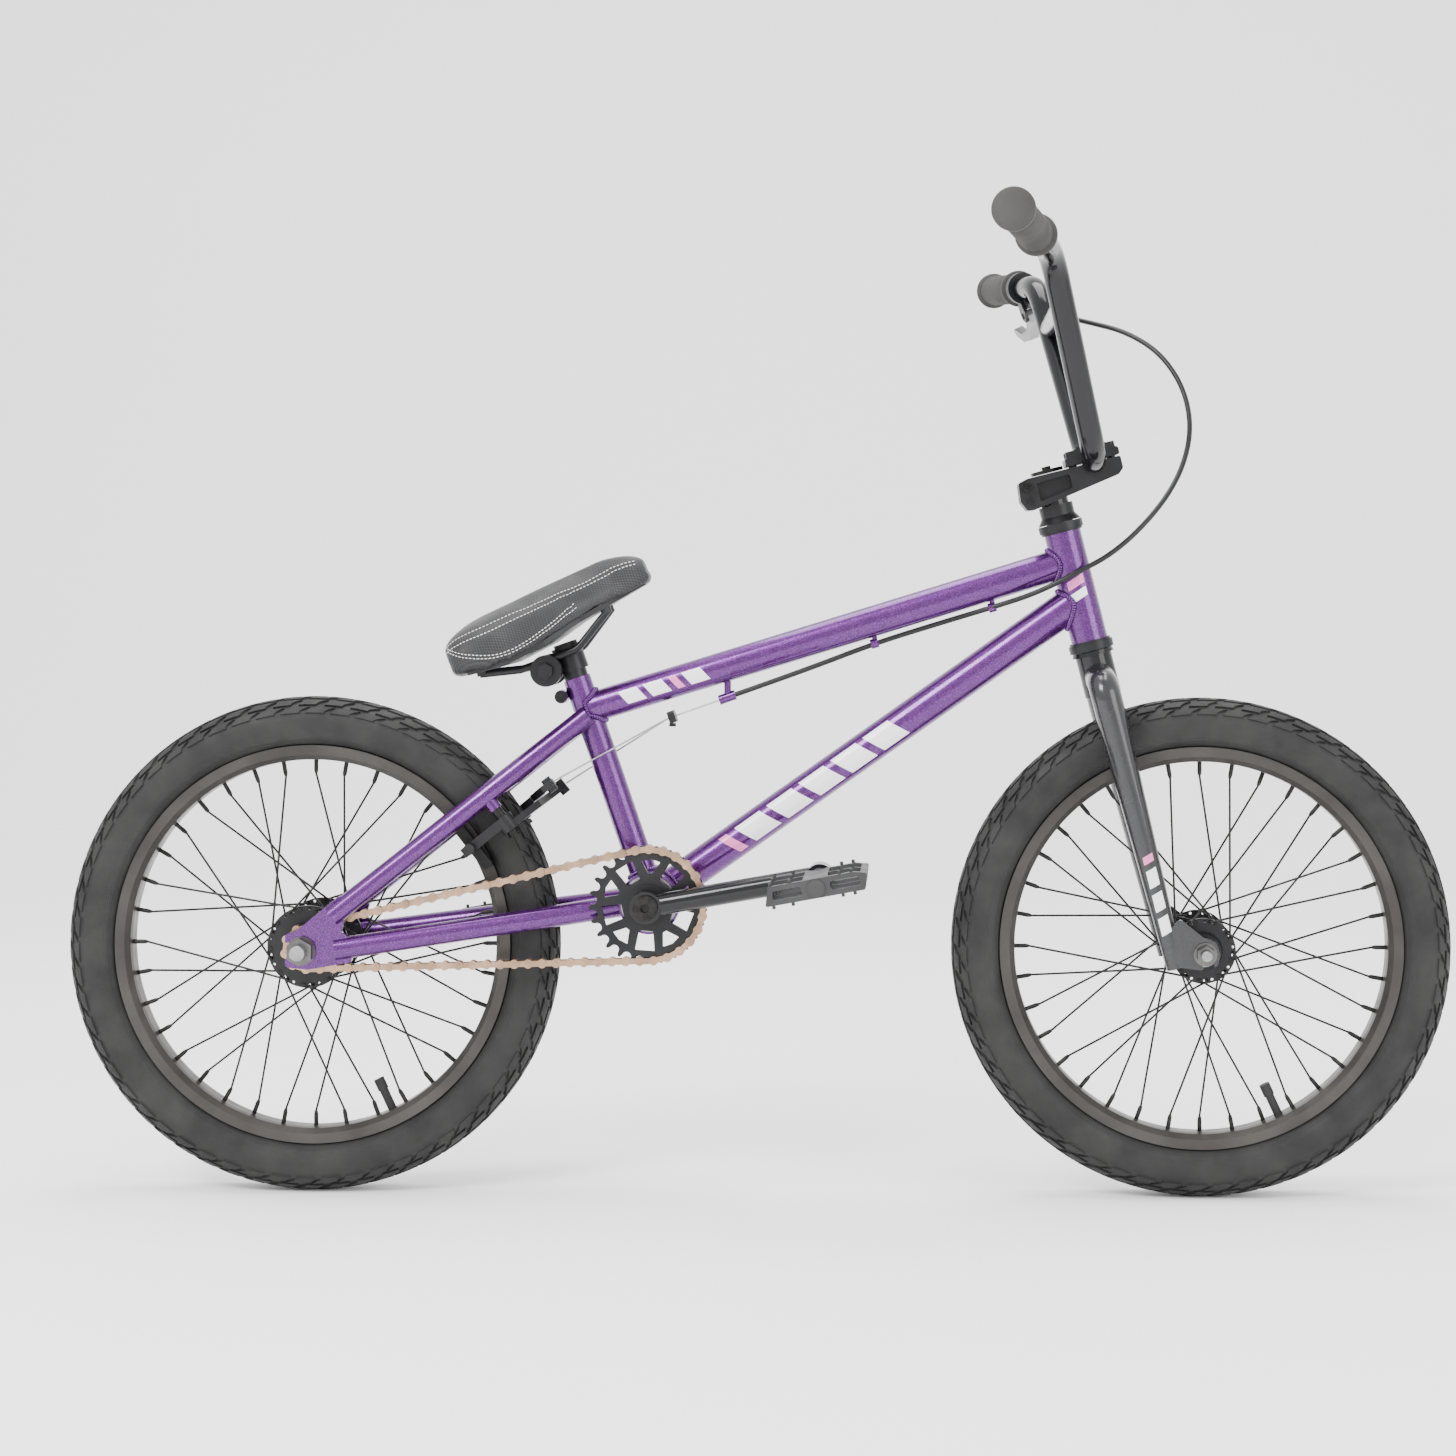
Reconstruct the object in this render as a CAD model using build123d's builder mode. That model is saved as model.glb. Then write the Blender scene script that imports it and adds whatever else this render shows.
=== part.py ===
from build123d import *
from math import asin, atan2, ceil, cos, degrees, pi, radians, sin, sqrt, tan
import os

# A single-speed BMX bike: 18 inch wheels, rear U-brake, three-piece tubular cranks.
# Axes: +X towards the front wheel, +Y to the rider's left, +Z up. The drive side is at -Y.
# Origin: on the ground, midway between the axles, in the plane of the wheels. Millimetres and degrees.

os.makedirs("parts", exist_ok=True)

# ---------------------------------------------------------------- driving dimensions
WHEELBASE = 816.0
TYRE_RADIUS = 228.0
TYRE_WIDTH = 52.0
TYRE_WALL = 3.6
RIM_RADIUS = 183.5
RIM_WIDTH = 32.0
RIM_WALL = 2.2
RIM_DEPTH = 14.0
BEAD_SEAT_RADIUS = 177.5
SPOKE_RADIUS = 1.0
SPOKES_PER_WHEEL = 36
NIPPLE_RADIUS = 2.0
VALVE_RADIUS = 4.0
VALVE_LENGTH = 34.0

FRONT_DROPOUT_WIDTH = 100.0
FRONT_AXLE_RADIUS = 4.76
FRONT_FLANGE_RADIUS = 27.0
REAR_DROPOUT_WIDTH = 110.0
REAR_AXLE_RADIUS = 7.0
REAR_FLANGE_RADIUS = 35.0

CHAIN_PITCH = 12.7
CHAIN_PITCHES = 67
SPROCKET_TEETH = 25
DRIVER_TEETH = 9
CHAIN_LINE = 43.0
ROLLER_RADIUS = 3.875

BRACKET_RISE = 41.0
BRACKET_SHELL_RADIUS = 28.0
BRACKET_SHELL_WIDTH = 68.0
BRACKET_WALL = 2.4
SPINDLE_RADIUS = 9.5
CRANK_LENGTH = 160.0
CRANK_ANGLE = 10.5
CRANK_TUBE_RADIUS = 10.0
CRANK_BOSS_RADIUS = 14.5

SEAT_ANGLE = 71.0
SEAT_TUBE_LENGTH = 216.0
SEAT_TUBE_RADIUS = 12.7
SEAT_POST_RADIUS = 11.1
SEAT_POST_TOP = 250.0
SEAT_POST_BOTTOM = 118.0

HEAD_ANGLE = 75.8
FORK_OFFSET = 28.8
FORK_LENGTH = 296.5
HEAD_TUBE_LENGTH = 102.0
HEAD_TUBE_RADIUS = 17.0
STEERER_RADIUS = 12.7
CUP_RADIUS = 20.5
TOP_TUBE_RADIUS = 14.3
TOP_TUBE_BELOW_HEAD_TOP = 27.0
TOP_TUBE_BELOW_SEAT_TOP = 30.3
DOWN_TUBE_RADIUS = 15.9
DOWN_TUBE_ABOVE_HEAD_END = 39.4
TUBE_WALL = 1.6
CHAINSTAY_RADIUS = 10.0
SEATSTAY_RADIUS = 9.5
STAY_SPREAD = 58.0
DROPOUT_THICKNESS = 5.0

FORK_LEG_SPREAD = 46.5
FORK_LEG_TOP_RADIUS = 13.8
FORK_LEG_END_RADIUS = 8.0

STEM_REACH = 42.0
STEM_RISE = 26.0
STEM_WIDTH = 50.0
STEM_HEIGHT = 30.0
BAR_RADIUS = 11.1
BAR_WALL = 2.0
BAR_CLAMP_HEIGHT = 56.0
BAR_RISE = 176.0
BAR_LEAN = 13.9
BAR_LOWER_BEND = 56.0
BAR_UPPER_BEND = 155.0
BAR_HALF_WIDTH = 343.0
BAR_BACKSWEEP = 38.0
BAR_UPSWEEP = 14.0
CROSSBAR_RISE = 133.0
CROSSBAR_RADIUS = 9.5
GRIP_LENGTH = 118.0
GRIP_RADIUS = 15.2
GRIP_FLANGE_RADIUS = 18.0

SEAT_LENGTH = 209.0
SEAT_TILT = 20.2
SEAT_RAIL_RADIUS = 3.5
SEAT_RAIL_SPREAD = 20.0

PEDAL_LENGTH = 92.0
PEDAL_WIDTH = 78.0
PEDAL_HEIGHT = 17.0
PEDAL_AXLE_RADIUS = 5.0

# clearances
RUNNING_FIT = 0.05
LIGHT_FIT = 0.02
SOFT_GAP = 0.3

# ---------------------------------------------------------------- derived layout
X_AXIS = Vector(1, 0, 0)
Y_AXIS = Vector(0, 1, 0)
Z_AXIS = Vector(0, 0, 1)
REAR = Vector(-WHEELBASE / 2, 0, TYRE_RADIUS)
FRONT = Vector(WHEELBASE / 2, 0, TYRE_RADIUS)


def pitch_radius(teeth):
    """The radius of the circle through the chain's pins on a sprocket."""
    return CHAIN_PITCH / (2 * sin(pi / teeth))


def chain_closure(centres):
    """Pitches in a taut chain round both sprockets with this centre distance."""
    rise = pitch_radius(SPROCKET_TEETH) - pitch_radius(DRIVER_TEETH)
    tilt = asin(rise / centres)
    on_sprocket = SPROCKET_TEETH * (0.5 + tilt / pi)
    on_driver = DRIVER_TEETH * (0.5 - tilt / pi)
    return on_sprocket + on_driver + 2 * sqrt(centres**2 - rise**2) / CHAIN_PITCH


def centre_distance():
    """The distance between sprocket centres at which the chain closes taut."""
    low, high = 0.3 * CHAIN_PITCHES * CHAIN_PITCH, 0.5 * CHAIN_PITCHES * CHAIN_PITCH
    for _ in range(60):
        middle = (low + high) / 2
        if chain_closure(middle) < CHAIN_PITCHES:
            low = middle
        else:
            high = middle
    return low


CENTRES = centre_distance()
BRACKET = REAR + Vector(sqrt(CENTRES**2 - BRACKET_RISE**2), 0, BRACKET_RISE)

seat_up = Vector(-cos(radians(SEAT_ANGLE)), 0, sin(radians(SEAT_ANGLE)))
head_up = Vector(-cos(radians(HEAD_ANGLE)), 0, sin(radians(HEAD_ANGLE)))
head_ahead = Vector(sin(radians(HEAD_ANGLE)), 0, cos(radians(HEAD_ANGLE)))
STEER_FOOT = FRONT - head_ahead * FORK_OFFSET


def on_seat_tube(distance, back=0.0, side=0.0):
    """A point up the seat tube's axis from the bracket, moved back and sideways."""
    return BRACKET + seat_up * distance + Vector(-sin(radians(SEAT_ANGLE)), 0, -cos(radians(SEAT_ANGLE))) * back + (
        Y_AXIS * side
    )


def on_steering(distance, ahead=0.0, side=0.0):
    """A point up the steering axis from its foot by the front axle, moved ahead and sideways."""
    return STEER_FOOT + head_up * distance + head_ahead * ahead + Y_AXIS * side


HEAD_LOW = FORK_LENGTH
HEAD_HIGH = FORK_LENGTH + HEAD_TUBE_LENGTH
TOP_TUBE_FRONT = on_steering(HEAD_HIGH - TOP_TUBE_BELOW_HEAD_TOP)
TOP_TUBE_REAR = on_seat_tube(SEAT_TUBE_LENGTH - TOP_TUBE_BELOW_SEAT_TOP)
DOWN_TUBE_FRONT = on_steering(HEAD_LOW + DOWN_TUBE_ABOVE_HEAD_END)
top_tube_line = (TOP_TUBE_FRONT - TOP_TUBE_REAR).normalized()


# ---------------------------------------------------------------- shared shapes
def add_rod(start, end, radius, bore=0.0, mode=Mode.ADD):
    """Adds a round rod, or a tube where a bore is given, from start to end."""
    span = Vector(end) - Vector(start)
    with BuildSketch(Plane(origin=start, z_dir=span)) as section:
        Circle(radius)
        if bore:
            Circle(bore, mode=Mode.SUBTRACT)
    extrude(to_extrude=section.sketch, amount=span.length, mode=mode)


def add_cone(start, end, start_radius, end_radius, mode=Mode.ADD):
    """Adds a round taper from start to end."""
    span = Vector(end) - Vector(start)
    with BuildSketch(Plane(origin=start, z_dir=span)) as near:
        Circle(start_radius)
    with BuildSketch(Plane(origin=end, z_dir=span)) as far:
        Circle(end_radius)
    loft(sections=[near.sketch, far.sketch], mode=mode)


def add_pipe(points, bends, radius, bore=0.0, mode=Mode.ADD):
    """Adds a bent round tube along straight runs joined by arcs."""
    with BuildLine() as path:
        FilletPolyline(*points, radius=bends)
    with BuildSketch(Plane(origin=points[0], z_dir=Vector(points[1]) - Vector(points[0]))) as section:
        Circle(radius)
        if bore:
            Circle(bore, mode=Mode.SUBTRACT)
    sweep(sections=section.sketch, path=path.wire(), mode=mode)


def add_hex(start, end, across_flats, bore=0.0):
    """Adds a hexagonal nut or bolt head from start to end."""
    span = Vector(end) - Vector(start)
    with BuildSketch(Plane(origin=start, z_dir=span)) as section:
        RegularPolygon(across_flats / 2, 6, major_radius=False)
        if bore:
            Circle(bore, mode=Mode.SUBTRACT)
    extrude(to_extrude=section.sketch, amount=span.length)


def add_turned(centre, outline, mode=Mode.ADD):
    """Adds a body turned about the Y direction through a centre, from (y, radius) points."""
    axle_plane = Plane(origin=centre, x_dir=Y_AXIS, z_dir=X_AXIS)
    with BuildSketch(axle_plane) as section:
        with BuildLine():
            Polyline(*outline, close=True)
        make_face()
    revolve(profiles=section.sketch, axis=Axis(centre, Y_AXIS), mode=mode)


def side_plane(origin, ahead):
    """A plane facing the rider's right, with its x direction along ahead in the side view."""
    return Plane(origin=origin, x_dir=ahead, z_dir=-Y_AXIS)


# ---------------------------------------------------------------- frame tubes
with BuildPart() as head_tube:
    add_rod(on_steering(HEAD_LOW), on_steering(HEAD_HIGH), HEAD_TUBE_RADIUS, HEAD_TUBE_RADIUS - 2.2)

with BuildPart() as bottom_bracket_shell:
    shell_half = BRACKET_SHELL_WIDTH / 2
    shell_bore = BRACKET_SHELL_RADIUS - BRACKET_WALL
    add_rod(BRACKET - Y_AXIS * shell_half, BRACKET + Y_AXIS * shell_half, BRACKET_SHELL_RADIUS, shell_bore)

with BuildPart() as seat_tube:
    add_rod(BRACKET, on_seat_tube(SEAT_TUBE_LENGTH), SEAT_TUBE_RADIUS, SEAT_POST_RADIUS + 0.03)
    add_rod(BRACKET - Y_AXIS * shell_half, BRACKET + Y_AXIS * shell_half, BRACKET_SHELL_RADIUS, mode=Mode.SUBTRACT)
    # The clamp ears stand behind the top of the tube with a slot between them.
    ear_level = SEAT_TUBE_LENGTH - 12.0
    ear_back = SEAT_TUBE_RADIUS + 5.5
    add_rod(on_seat_tube(ear_level, ear_back, -9.0), on_seat_tube(ear_level, ear_back, 9.0), 6.2)
    add_rod(on_seat_tube(ear_level, 0, 0), on_seat_tube(SEAT_TUBE_LENGTH + 10), SEAT_POST_RADIUS + 0.03,
            mode=Mode.SUBTRACT)
    slot_low = on_seat_tube(SEAT_TUBE_LENGTH - 26.0, ear_back)
    with BuildSketch(Plane(origin=slot_low, x_dir=Y_AXIS, z_dir=seat_up)) as slot_section:
        Rectangle(3.0, 26.0)
    extrude(to_extrude=slot_section.sketch, amount=40.0, mode=Mode.SUBTRACT)
    add_rod(on_seat_tube(ear_level, ear_back, -12.0), on_seat_tube(ear_level, ear_back, 12.0), 2.6, mode=Mode.SUBTRACT)

with BuildPart() as top_tube:
    add_rod(TOP_TUBE_REAR, TOP_TUBE_FRONT, TOP_TUBE_RADIUS, TOP_TUBE_RADIUS - TUBE_WALL)
    add_rod(on_steering(HEAD_LOW), on_steering(HEAD_HIGH), HEAD_TUBE_RADIUS, mode=Mode.SUBTRACT)
    add_rod(BRACKET, on_seat_tube(SEAT_TUBE_LENGTH), SEAT_TUBE_RADIUS, mode=Mode.SUBTRACT)

with BuildPart() as down_tube:
    add_rod(BRACKET, DOWN_TUBE_FRONT, DOWN_TUBE_RADIUS, DOWN_TUBE_RADIUS - TUBE_WALL)
    add_rod(BRACKET - Y_AXIS * shell_half, BRACKET + Y_AXIS * shell_half, BRACKET_SHELL_RADIUS, mode=Mode.SUBTRACT)
    add_rod(on_steering(HEAD_LOW), on_steering(HEAD_HIGH), HEAD_TUBE_RADIUS, mode=Mode.SUBTRACT)

# The seat stays run nearly radially from the dropouts, past the tyre, to the seat tube.
seatstay_low = REAR + Vector(27.0, 0, 31.0)
seatstay_high = on_seat_tube(SEAT_TUBE_LENGTH - 36.0)
seatstay_up = (seatstay_high - seatstay_low).normalized()
STAY_PAST_TYRE = 12.0
bend_share = (TYRE_RADIUS - STAY_PAST_TYRE - (seatstay_low - REAR).length) / (seatstay_high - seatstay_low).length
seatstay_bend = seatstay_low + (seatstay_high - seatstay_low) * bend_share
SEATSTAY_BEND_SPREAD = TYRE_WIDTH / 2 + 13.0
SEATSTAY_TOP_SPREAD = SEAT_TUBE_RADIUS + 4.0
CHAINSTAY_BEND_SPREAD = TYRE_WIDTH / 2 + 13.0
CHAINSTAY_FRONT_SPREAD = BRACKET_SHELL_WIDTH / 2 - CHAINSTAY_RADIUS
chainstay_rear = REAR + Vector(30.0, 0, 1.3)
chainstay_front = BRACKET + Vector(-12.0, 0, -1.0)
chainstay_bend = chainstay_rear + (chainstay_front - chainstay_rear) * 0.64
STAY_BEND_RADIUS = 140.0


def seatstay_points(side):
    """The seat stay's route on one side, from the dropout up."""
    return [
        seatstay_low + Y_AXIS * side * STAY_SPREAD,
        seatstay_bend + Y_AXIS * side * SEATSTAY_BEND_SPREAD,
        seatstay_high + Y_AXIS * side * SEATSTAY_TOP_SPREAD,
    ]


def chainstay_points(side):
    """The chain stay's route on one side, from the dropout forward."""
    return [
        chainstay_rear + Y_AXIS * side * STAY_SPREAD,
        chainstay_bend + Y_AXIS * side * CHAINSTAY_BEND_SPREAD,
        chainstay_front + Y_AXIS * side * CHAINSTAY_FRONT_SPREAD,
    ]


def add_stay(points, radius):
    """Adds one hollow stay with a closed lower end."""
    add_pipe(points, STAY_BEND_RADIUS, radius, radius - TUBE_WALL)
    way = (points[1] - points[0]).normalized()
    add_rod(points[0], points[0] + way * 2.5, radius)


with BuildPart() as seatstays:
    for side in (-1, 1):
        add_stay(seatstay_points(side), SEATSTAY_RADIUS)
    add_rod(BRACKET, on_seat_tube(SEAT_TUBE_LENGTH), SEAT_TUBE_RADIUS, mode=Mode.SUBTRACT)
    add_rod(TOP_TUBE_REAR, TOP_TUBE_FRONT, TOP_TUBE_RADIUS, mode=Mode.SUBTRACT)

with BuildPart() as chainstays:
    for side in (-1, 1):
        add_stay(chainstay_points(side), CHAINSTAY_RADIUS)
    add_rod(BRACKET - Y_AXIS * (shell_half + 9), BRACKET + Y_AXIS * (shell_half + 9), BRACKET_SHELL_RADIUS,
            mode=Mode.SUBTRACT)

# Plate dropouts with a slot that opens to the rear for the axle.
DROPOUT_NOSE = 46.0
with BuildPart() as rear_dropouts:
    for side in (-1, 1):
        inner = REAR_DROPOUT_WIDTH / 2
        face = REAR + Y_AXIS * (-inner if side < 0 else inner + DROPOUT_THICKNESS)
        with BuildSketch(side_plane(face, X_AXIS)) as plate:
            with BuildLine():
                Polyline(
                    (-15, -15),
                    (6, -17),
                    (DROPOUT_NOSE, -10),
                    (DROPOUT_NOSE, 11),
                    (36, 17),
                    (44, 46),
                    (34, 50),
                    (-6, 17),
                    (-15, 15),
                    close=True,
                )
            make_face()
            fillet(plate.vertices(), 3.5)
            with Locations((-16, 0)):
                SlotOverall(2 * 16 + 2 * REAR_AXLE_RADIUS + 0.6, 2 * REAR_AXLE_RADIUS + 0.6, mode=Mode.SUBTRACT)
        extrude(to_extrude=plate.sketch, amount=DROPOUT_THICKNESS)
        add_pipe(seatstay_points(side), STAY_BEND_RADIUS, SEATSTAY_RADIUS, mode=Mode.SUBTRACT)
        add_pipe(chainstay_points(side), STAY_BEND_RADIUS, CHAINSTAY_RADIUS, mode=Mode.SUBTRACT)

# ---------------------------------------------------------------- brake bosses, cable guides and cable stop
boss_ahead = Vector(seatstay_up.Z, 0, -seatstay_up.X)
BOSS_BASE_LENGTH = 16.0
BOSS_RADIUS = 6.4
PIVOT_SLEEVE_RADIUS = 4.8
PIVOT_SLEEVE_LENGTH = 40.0
HOUSING_RADIUS = 2.5
CABLE_ROUTE = [
    (-18.0, 0.0, 458.0),
    (45.0, -1.0, 480.2),
    (110.0, 0.0, 505.2),
    (165.0, 0.0, 522.4),
    (218.0, -2.0, 538.4),
    (256.0, -17.5, 551.0),
    (290.0, -23.5, 568.0),
    (332.0, -13.0, 590.0),
    (372.0, 9.0, 629.5),
    (396.0, 36.0, 667.0),
    (406.0, 57.0, 706.0),
    (400.0, 74.0, 745.0),
    (379.0, 91.0, 779.0),
    (348.0, 107.0, 800.0),
    (317.0, 127.0, 810.0),
    (292.0, 152.0, 818.0),
    (275.0, 180.0, 828.0),
]


def pivot_at(side, depth):
    """A point on a brake pivot's axis, at a depth from the seat stay's axis."""
    return seatstay_bend + Y_AXIS * side * (SEATSTAY_BEND_SPREAD + 0.5) + boss_ahead * depth


def under_top_tube(along_x, below):
    """A point below the top tube's axis at a given x."""
    share = (along_x - TOP_TUBE_REAR.X) / (TOP_TUBE_FRONT.X - TOP_TUBE_REAR.X)
    return TOP_TUBE_REAR + (TOP_TUBE_FRONT - TOP_TUBE_REAR) * share - Z_AXIS * below


stop_way = (Vector(CABLE_ROUTE[1]) - Vector(CABLE_ROUTE[0])).normalized()
stop_mouth = Vector(CABLE_ROUTE[0])
STOP_LENGTH = 16.0
CLIP_WIDTH = 7.0

# The cable housing is whole, along its real route from the stop to the lever.
route = [Vector(point) for point in CABLE_ROUTE]
route_bends = []
for before, corner, after in zip(route, route[1:], route[2:]):
    shorter = min((corner - before).length, (after - corner).length)
    turn = radians((corner - before).get_angle(after - corner))
    route_bends.append(0.45 * shorter / tan(turn / 2))
print("cable arc radii", [round(bend) for bend in route_bends])

with BuildPart() as brake_cable_housing:
    with BuildLine() as housing_path:
        FilletPolyline(*route, radius=route_bends)
    with BuildSketch(Plane(origin=route[0], z_dir=route[1] - route[0])) as housing_section:
        Circle(HOUSING_RADIUS)
    sweep(sections=housing_section.sketch, path=housing_path.wire())
housing_length = housing_path.wire().length
print("cable housing length", round(housing_length, 1), "volume ratio",
      round(brake_cable_housing.part.volume / (pi * HOUSING_RADIUS**2 * housing_length), 4))

with BuildPart() as frame_fittings:
    for side in (-1, 1):
        add_rod(pivot_at(side, 0), pivot_at(side, BOSS_BASE_LENGTH), BOSS_RADIUS)
        add_pipe(seatstay_points(side), STAY_BEND_RADIUS, SEATSTAY_RADIUS, mode=Mode.SUBTRACT)
    # The cable stop is a drilled block on a leg that hangs from the top tube.
    stop_back = stop_mouth - stop_way * STOP_LENGTH
    add_rod(stop_back, stop_mouth - stop_way * 0.2, 4.6)
    leg_low = (stop_back + stop_mouth) * 0.5
    add_rod(leg_low, under_top_tube(leg_low.X, 0), 3.2)
    for index in (2, 4):
        clip = Vector(CABLE_ROUTE[index])
        add_rod(clip - top_tube_line * CLIP_WIDTH / 2, clip + top_tube_line * CLIP_WIDTH / 2, HOUSING_RADIUS + 2.0)
        add_rod(clip, under_top_tube(clip.X, 0), 2.4)
    add_rod(TOP_TUBE_REAR, TOP_TUBE_FRONT, TOP_TUBE_RADIUS, mode=Mode.SUBTRACT)
    add_rod(stop_back - stop_way * 5, stop_mouth, 1.3, mode=Mode.SUBTRACT)
    # The clips close round the housing, which passes through them.
    add_pipe(route, route_bends, HOUSING_RADIUS + RUNNING_FIT, mode=Mode.SUBTRACT)

# ---------------------------------------------------------------- headset and bracket bearings
CUP_STACK = 9.0
with BuildPart() as headset_cups:
    for low, out in ((HEAD_LOW, -1), (HEAD_HIGH, 1)):
        rim = on_steering(low) + head_up * out * CUP_STACK
        lip = on_steering(low) + head_up * out * 2.0
        add_rod(on_steering(low), lip, CUP_RADIUS - 1.5, STEERER_RADIUS + 1.0)
        add_rod(lip, rim, CUP_RADIUS, STEERER_RADIUS + 1.0)

with BuildPart() as bottom_bracket_bearings:
    for side in (-1, 1):
        bearing_out = BRACKET + Y_AXIS * side * (shell_half + 1.5)
        bearing_in = BRACKET + Y_AXIS * side * (shell_half - 11.0)
        add_rod(bearing_in, bearing_out, shell_bore - LIGHT_FIT, SPINDLE_RADIUS + RUNNING_FIT)

# ---------------------------------------------------------------- rear axle, nuts and frame bolts
REAR_NUT_ACROSS = 22.0
REAR_AXLE_OVERHANG = 21.0
REAR_NUT_REACH = 11.0
GROOVE_WIDTH = 1.4
GROOVE_DEPTH = 0.7
rear_out = REAR_DROPOUT_WIDTH / 2 + DROPOUT_THICKNESS
with BuildPart() as rear_axle:
    rear_axle_half = rear_out + REAR_AXLE_OVERHANG
    add_rod(REAR - Y_AXIS * rear_axle_half, REAR + Y_AXIS * rear_axle_half, REAR_AXLE_RADIUS)
    chamfer(rear_axle.edges().filter_by(GeomType.CIRCLE), 0.8)
    # A relief groove just inside each nut's face sets off the plain stud outside it.
    for side in (-1, 1):
        groove = REAR + Y_AXIS * side * (rear_out + REAR_NUT_REACH)
        add_rod(groove - Y_AXIS * side * GROOVE_WIDTH, groove, REAR_AXLE_RADIUS + 1, REAR_AXLE_RADIUS - GROOVE_DEPTH,
                mode=Mode.SUBTRACT)

with BuildPart() as rear_axle_nuts:
    for side in (-1, 1):
        washer = REAR + Y_AXIS * side * (rear_out + 2.0)
        nut = REAR + Y_AXIS * side * (rear_out + REAR_NUT_REACH)
        add_rod(REAR + Y_AXIS * side * rear_out, washer, REAR_NUT_ACROSS / 2 + 2.0, REAR_AXLE_RADIUS + LIGHT_FIT)
        add_hex(washer, nut, REAR_NUT_ACROSS, REAR_AXLE_RADIUS + LIGHT_FIT)
        cone_in = REAR + Y_AXIS * side * (REAR_DROPOUT_WIDTH / 2 - 6.0)
        add_rod(cone_in, REAR + Y_AXIS * side * REAR_DROPOUT_WIDTH / 2, 10.0, REAR_AXLE_RADIUS + LIGHT_FIT)

with BuildPart() as frame_bolts:
    add_rod(on_seat_tube(ear_level, ear_back, -14.0), on_seat_tube(ear_level, ear_back, -9.0), 5.4)
    add_rod(on_seat_tube(ear_level, ear_back, -9.0), on_seat_tube(ear_level, ear_back, 12.0), 2.5)
    add_rod(on_seat_tube(ear_level, ear_back, 9.0), on_seat_tube(ear_level, ear_back, 12.0), 4.6)
    for side in (-1, 1):
        tip = pivot_at(side, PIVOT_SLEEVE_LENGTH)
        add_rod(pivot_at(side, BOSS_BASE_LENGTH), tip, PIVOT_SLEEVE_RADIUS)
        add_hex(tip, pivot_at(side, PIVOT_SLEEVE_LENGTH + 4.5), 11.0)

# ---------------------------------------------------------------- chain
chain_centre_rear = REAR - Y_AXIS * CHAIN_LINE
chain_centre_front = BRACKET - Y_AXIS * CHAIN_LINE
drive_line = (BRACKET - REAR).normalized()
drive_up = Vector(-drive_line.Z, 0, drive_line.X)
chain_tilt = asin((pitch_radius(SPROCKET_TEETH) - pitch_radius(DRIVER_TEETH)) / CENTRES)
run_pitches = sqrt(CENTRES**2 - (CENTRES * sin(chain_tilt)) ** 2) / CHAIN_PITCH
sprocket_wrap = SPROCKET_TEETH * (0.5 + chain_tilt / pi)
driver_wrap = DRIVER_TEETH * (0.5 - chain_tilt / pi)
PLATE_THICKNESS = 1.1
INNER_WIDTH = 3.5
PIN_RADIUS = 1.8
LINK_END_RADIUS = 4.1


def around(centre, radius, angle):
    """A point on a circle in the chain's plane, its angle counted from the drive line upwards."""
    return centre + drive_line * radius * cos(angle) + drive_up * radius * sin(angle)


def chain_pin(place):
    """The pin's place after a number of pitches, from the top of the sprocket, going forward and down."""
    place = place % CHAIN_PITCHES
    top = pi / 2 + chain_tilt
    if place <= sprocket_wrap:
        return around(chain_centre_front, pitch_radius(SPROCKET_TEETH), top - 2 * pi * place / SPROCKET_TEETH)
    place -= sprocket_wrap
    if place <= run_pitches:
        start = around(chain_centre_front, pitch_radius(SPROCKET_TEETH), -top)
        end = around(chain_centre_rear, pitch_radius(DRIVER_TEETH), -top)
        return start + (end - start) * (place / run_pitches)
    place -= run_pitches
    if place <= driver_wrap:
        return around(chain_centre_rear, pitch_radius(DRIVER_TEETH), -top - 2 * pi * place / DRIVER_TEETH)
    place -= driver_wrap
    start = around(chain_centre_rear, pitch_radius(DRIVER_TEETH), top)
    end = around(chain_centre_front, pitch_radius(SPROCKET_TEETH), top)
    return start + (end - start) * (place / run_pitches)


def add_link_plate(offset):
    """Adds one figure-eight link plate at a sideways offset from the chain's middle."""
    with BuildSketch(Plane.XZ.offset(-offset)) as plate:
        with Locations((-CHAIN_PITCH / 2, 0), (CHAIN_PITCH / 2, 0)):
            Circle(LINK_END_RADIUS)
        Rectangle(CHAIN_PITCH, 5.2)
    extrude(to_extrude=plate.sketch, amount=-PLATE_THICKNESS)


def add_cross(position, radius, half, bore=0.0):
    """Adds a round piece across a link at one of its ends."""
    add_rod((position, -half, 0), (position, half, 0), radius, bore)


inner_face = INNER_WIDTH / 2
outer_face = inner_face + PLATE_THICKNESS + 0.12
with BuildPart() as inner_link:
    add_link_plate(inner_face)
    add_link_plate(-inner_face - PLATE_THICKNESS)
    add_cross(-CHAIN_PITCH / 2, ROLLER_RADIUS, inner_face)
    add_cross(CHAIN_PITCH / 2, ROLLER_RADIUS, inner_face)
    for end in (-CHAIN_PITCH / 2, CHAIN_PITCH / 2):
        add_rod((end, -6, 0), (end, 6, 0), PIN_RADIUS + 0.15, mode=Mode.SUBTRACT)

with BuildPart() as outer_link:
    add_link_plate(outer_face)
    add_link_plate(-outer_face - PLATE_THICKNESS)
    for end in (-CHAIN_PITCH / 2, CHAIN_PITCH / 2):
        add_cross(end, PIN_RADIUS, outer_face + PLATE_THICKNESS + 0.6)

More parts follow.
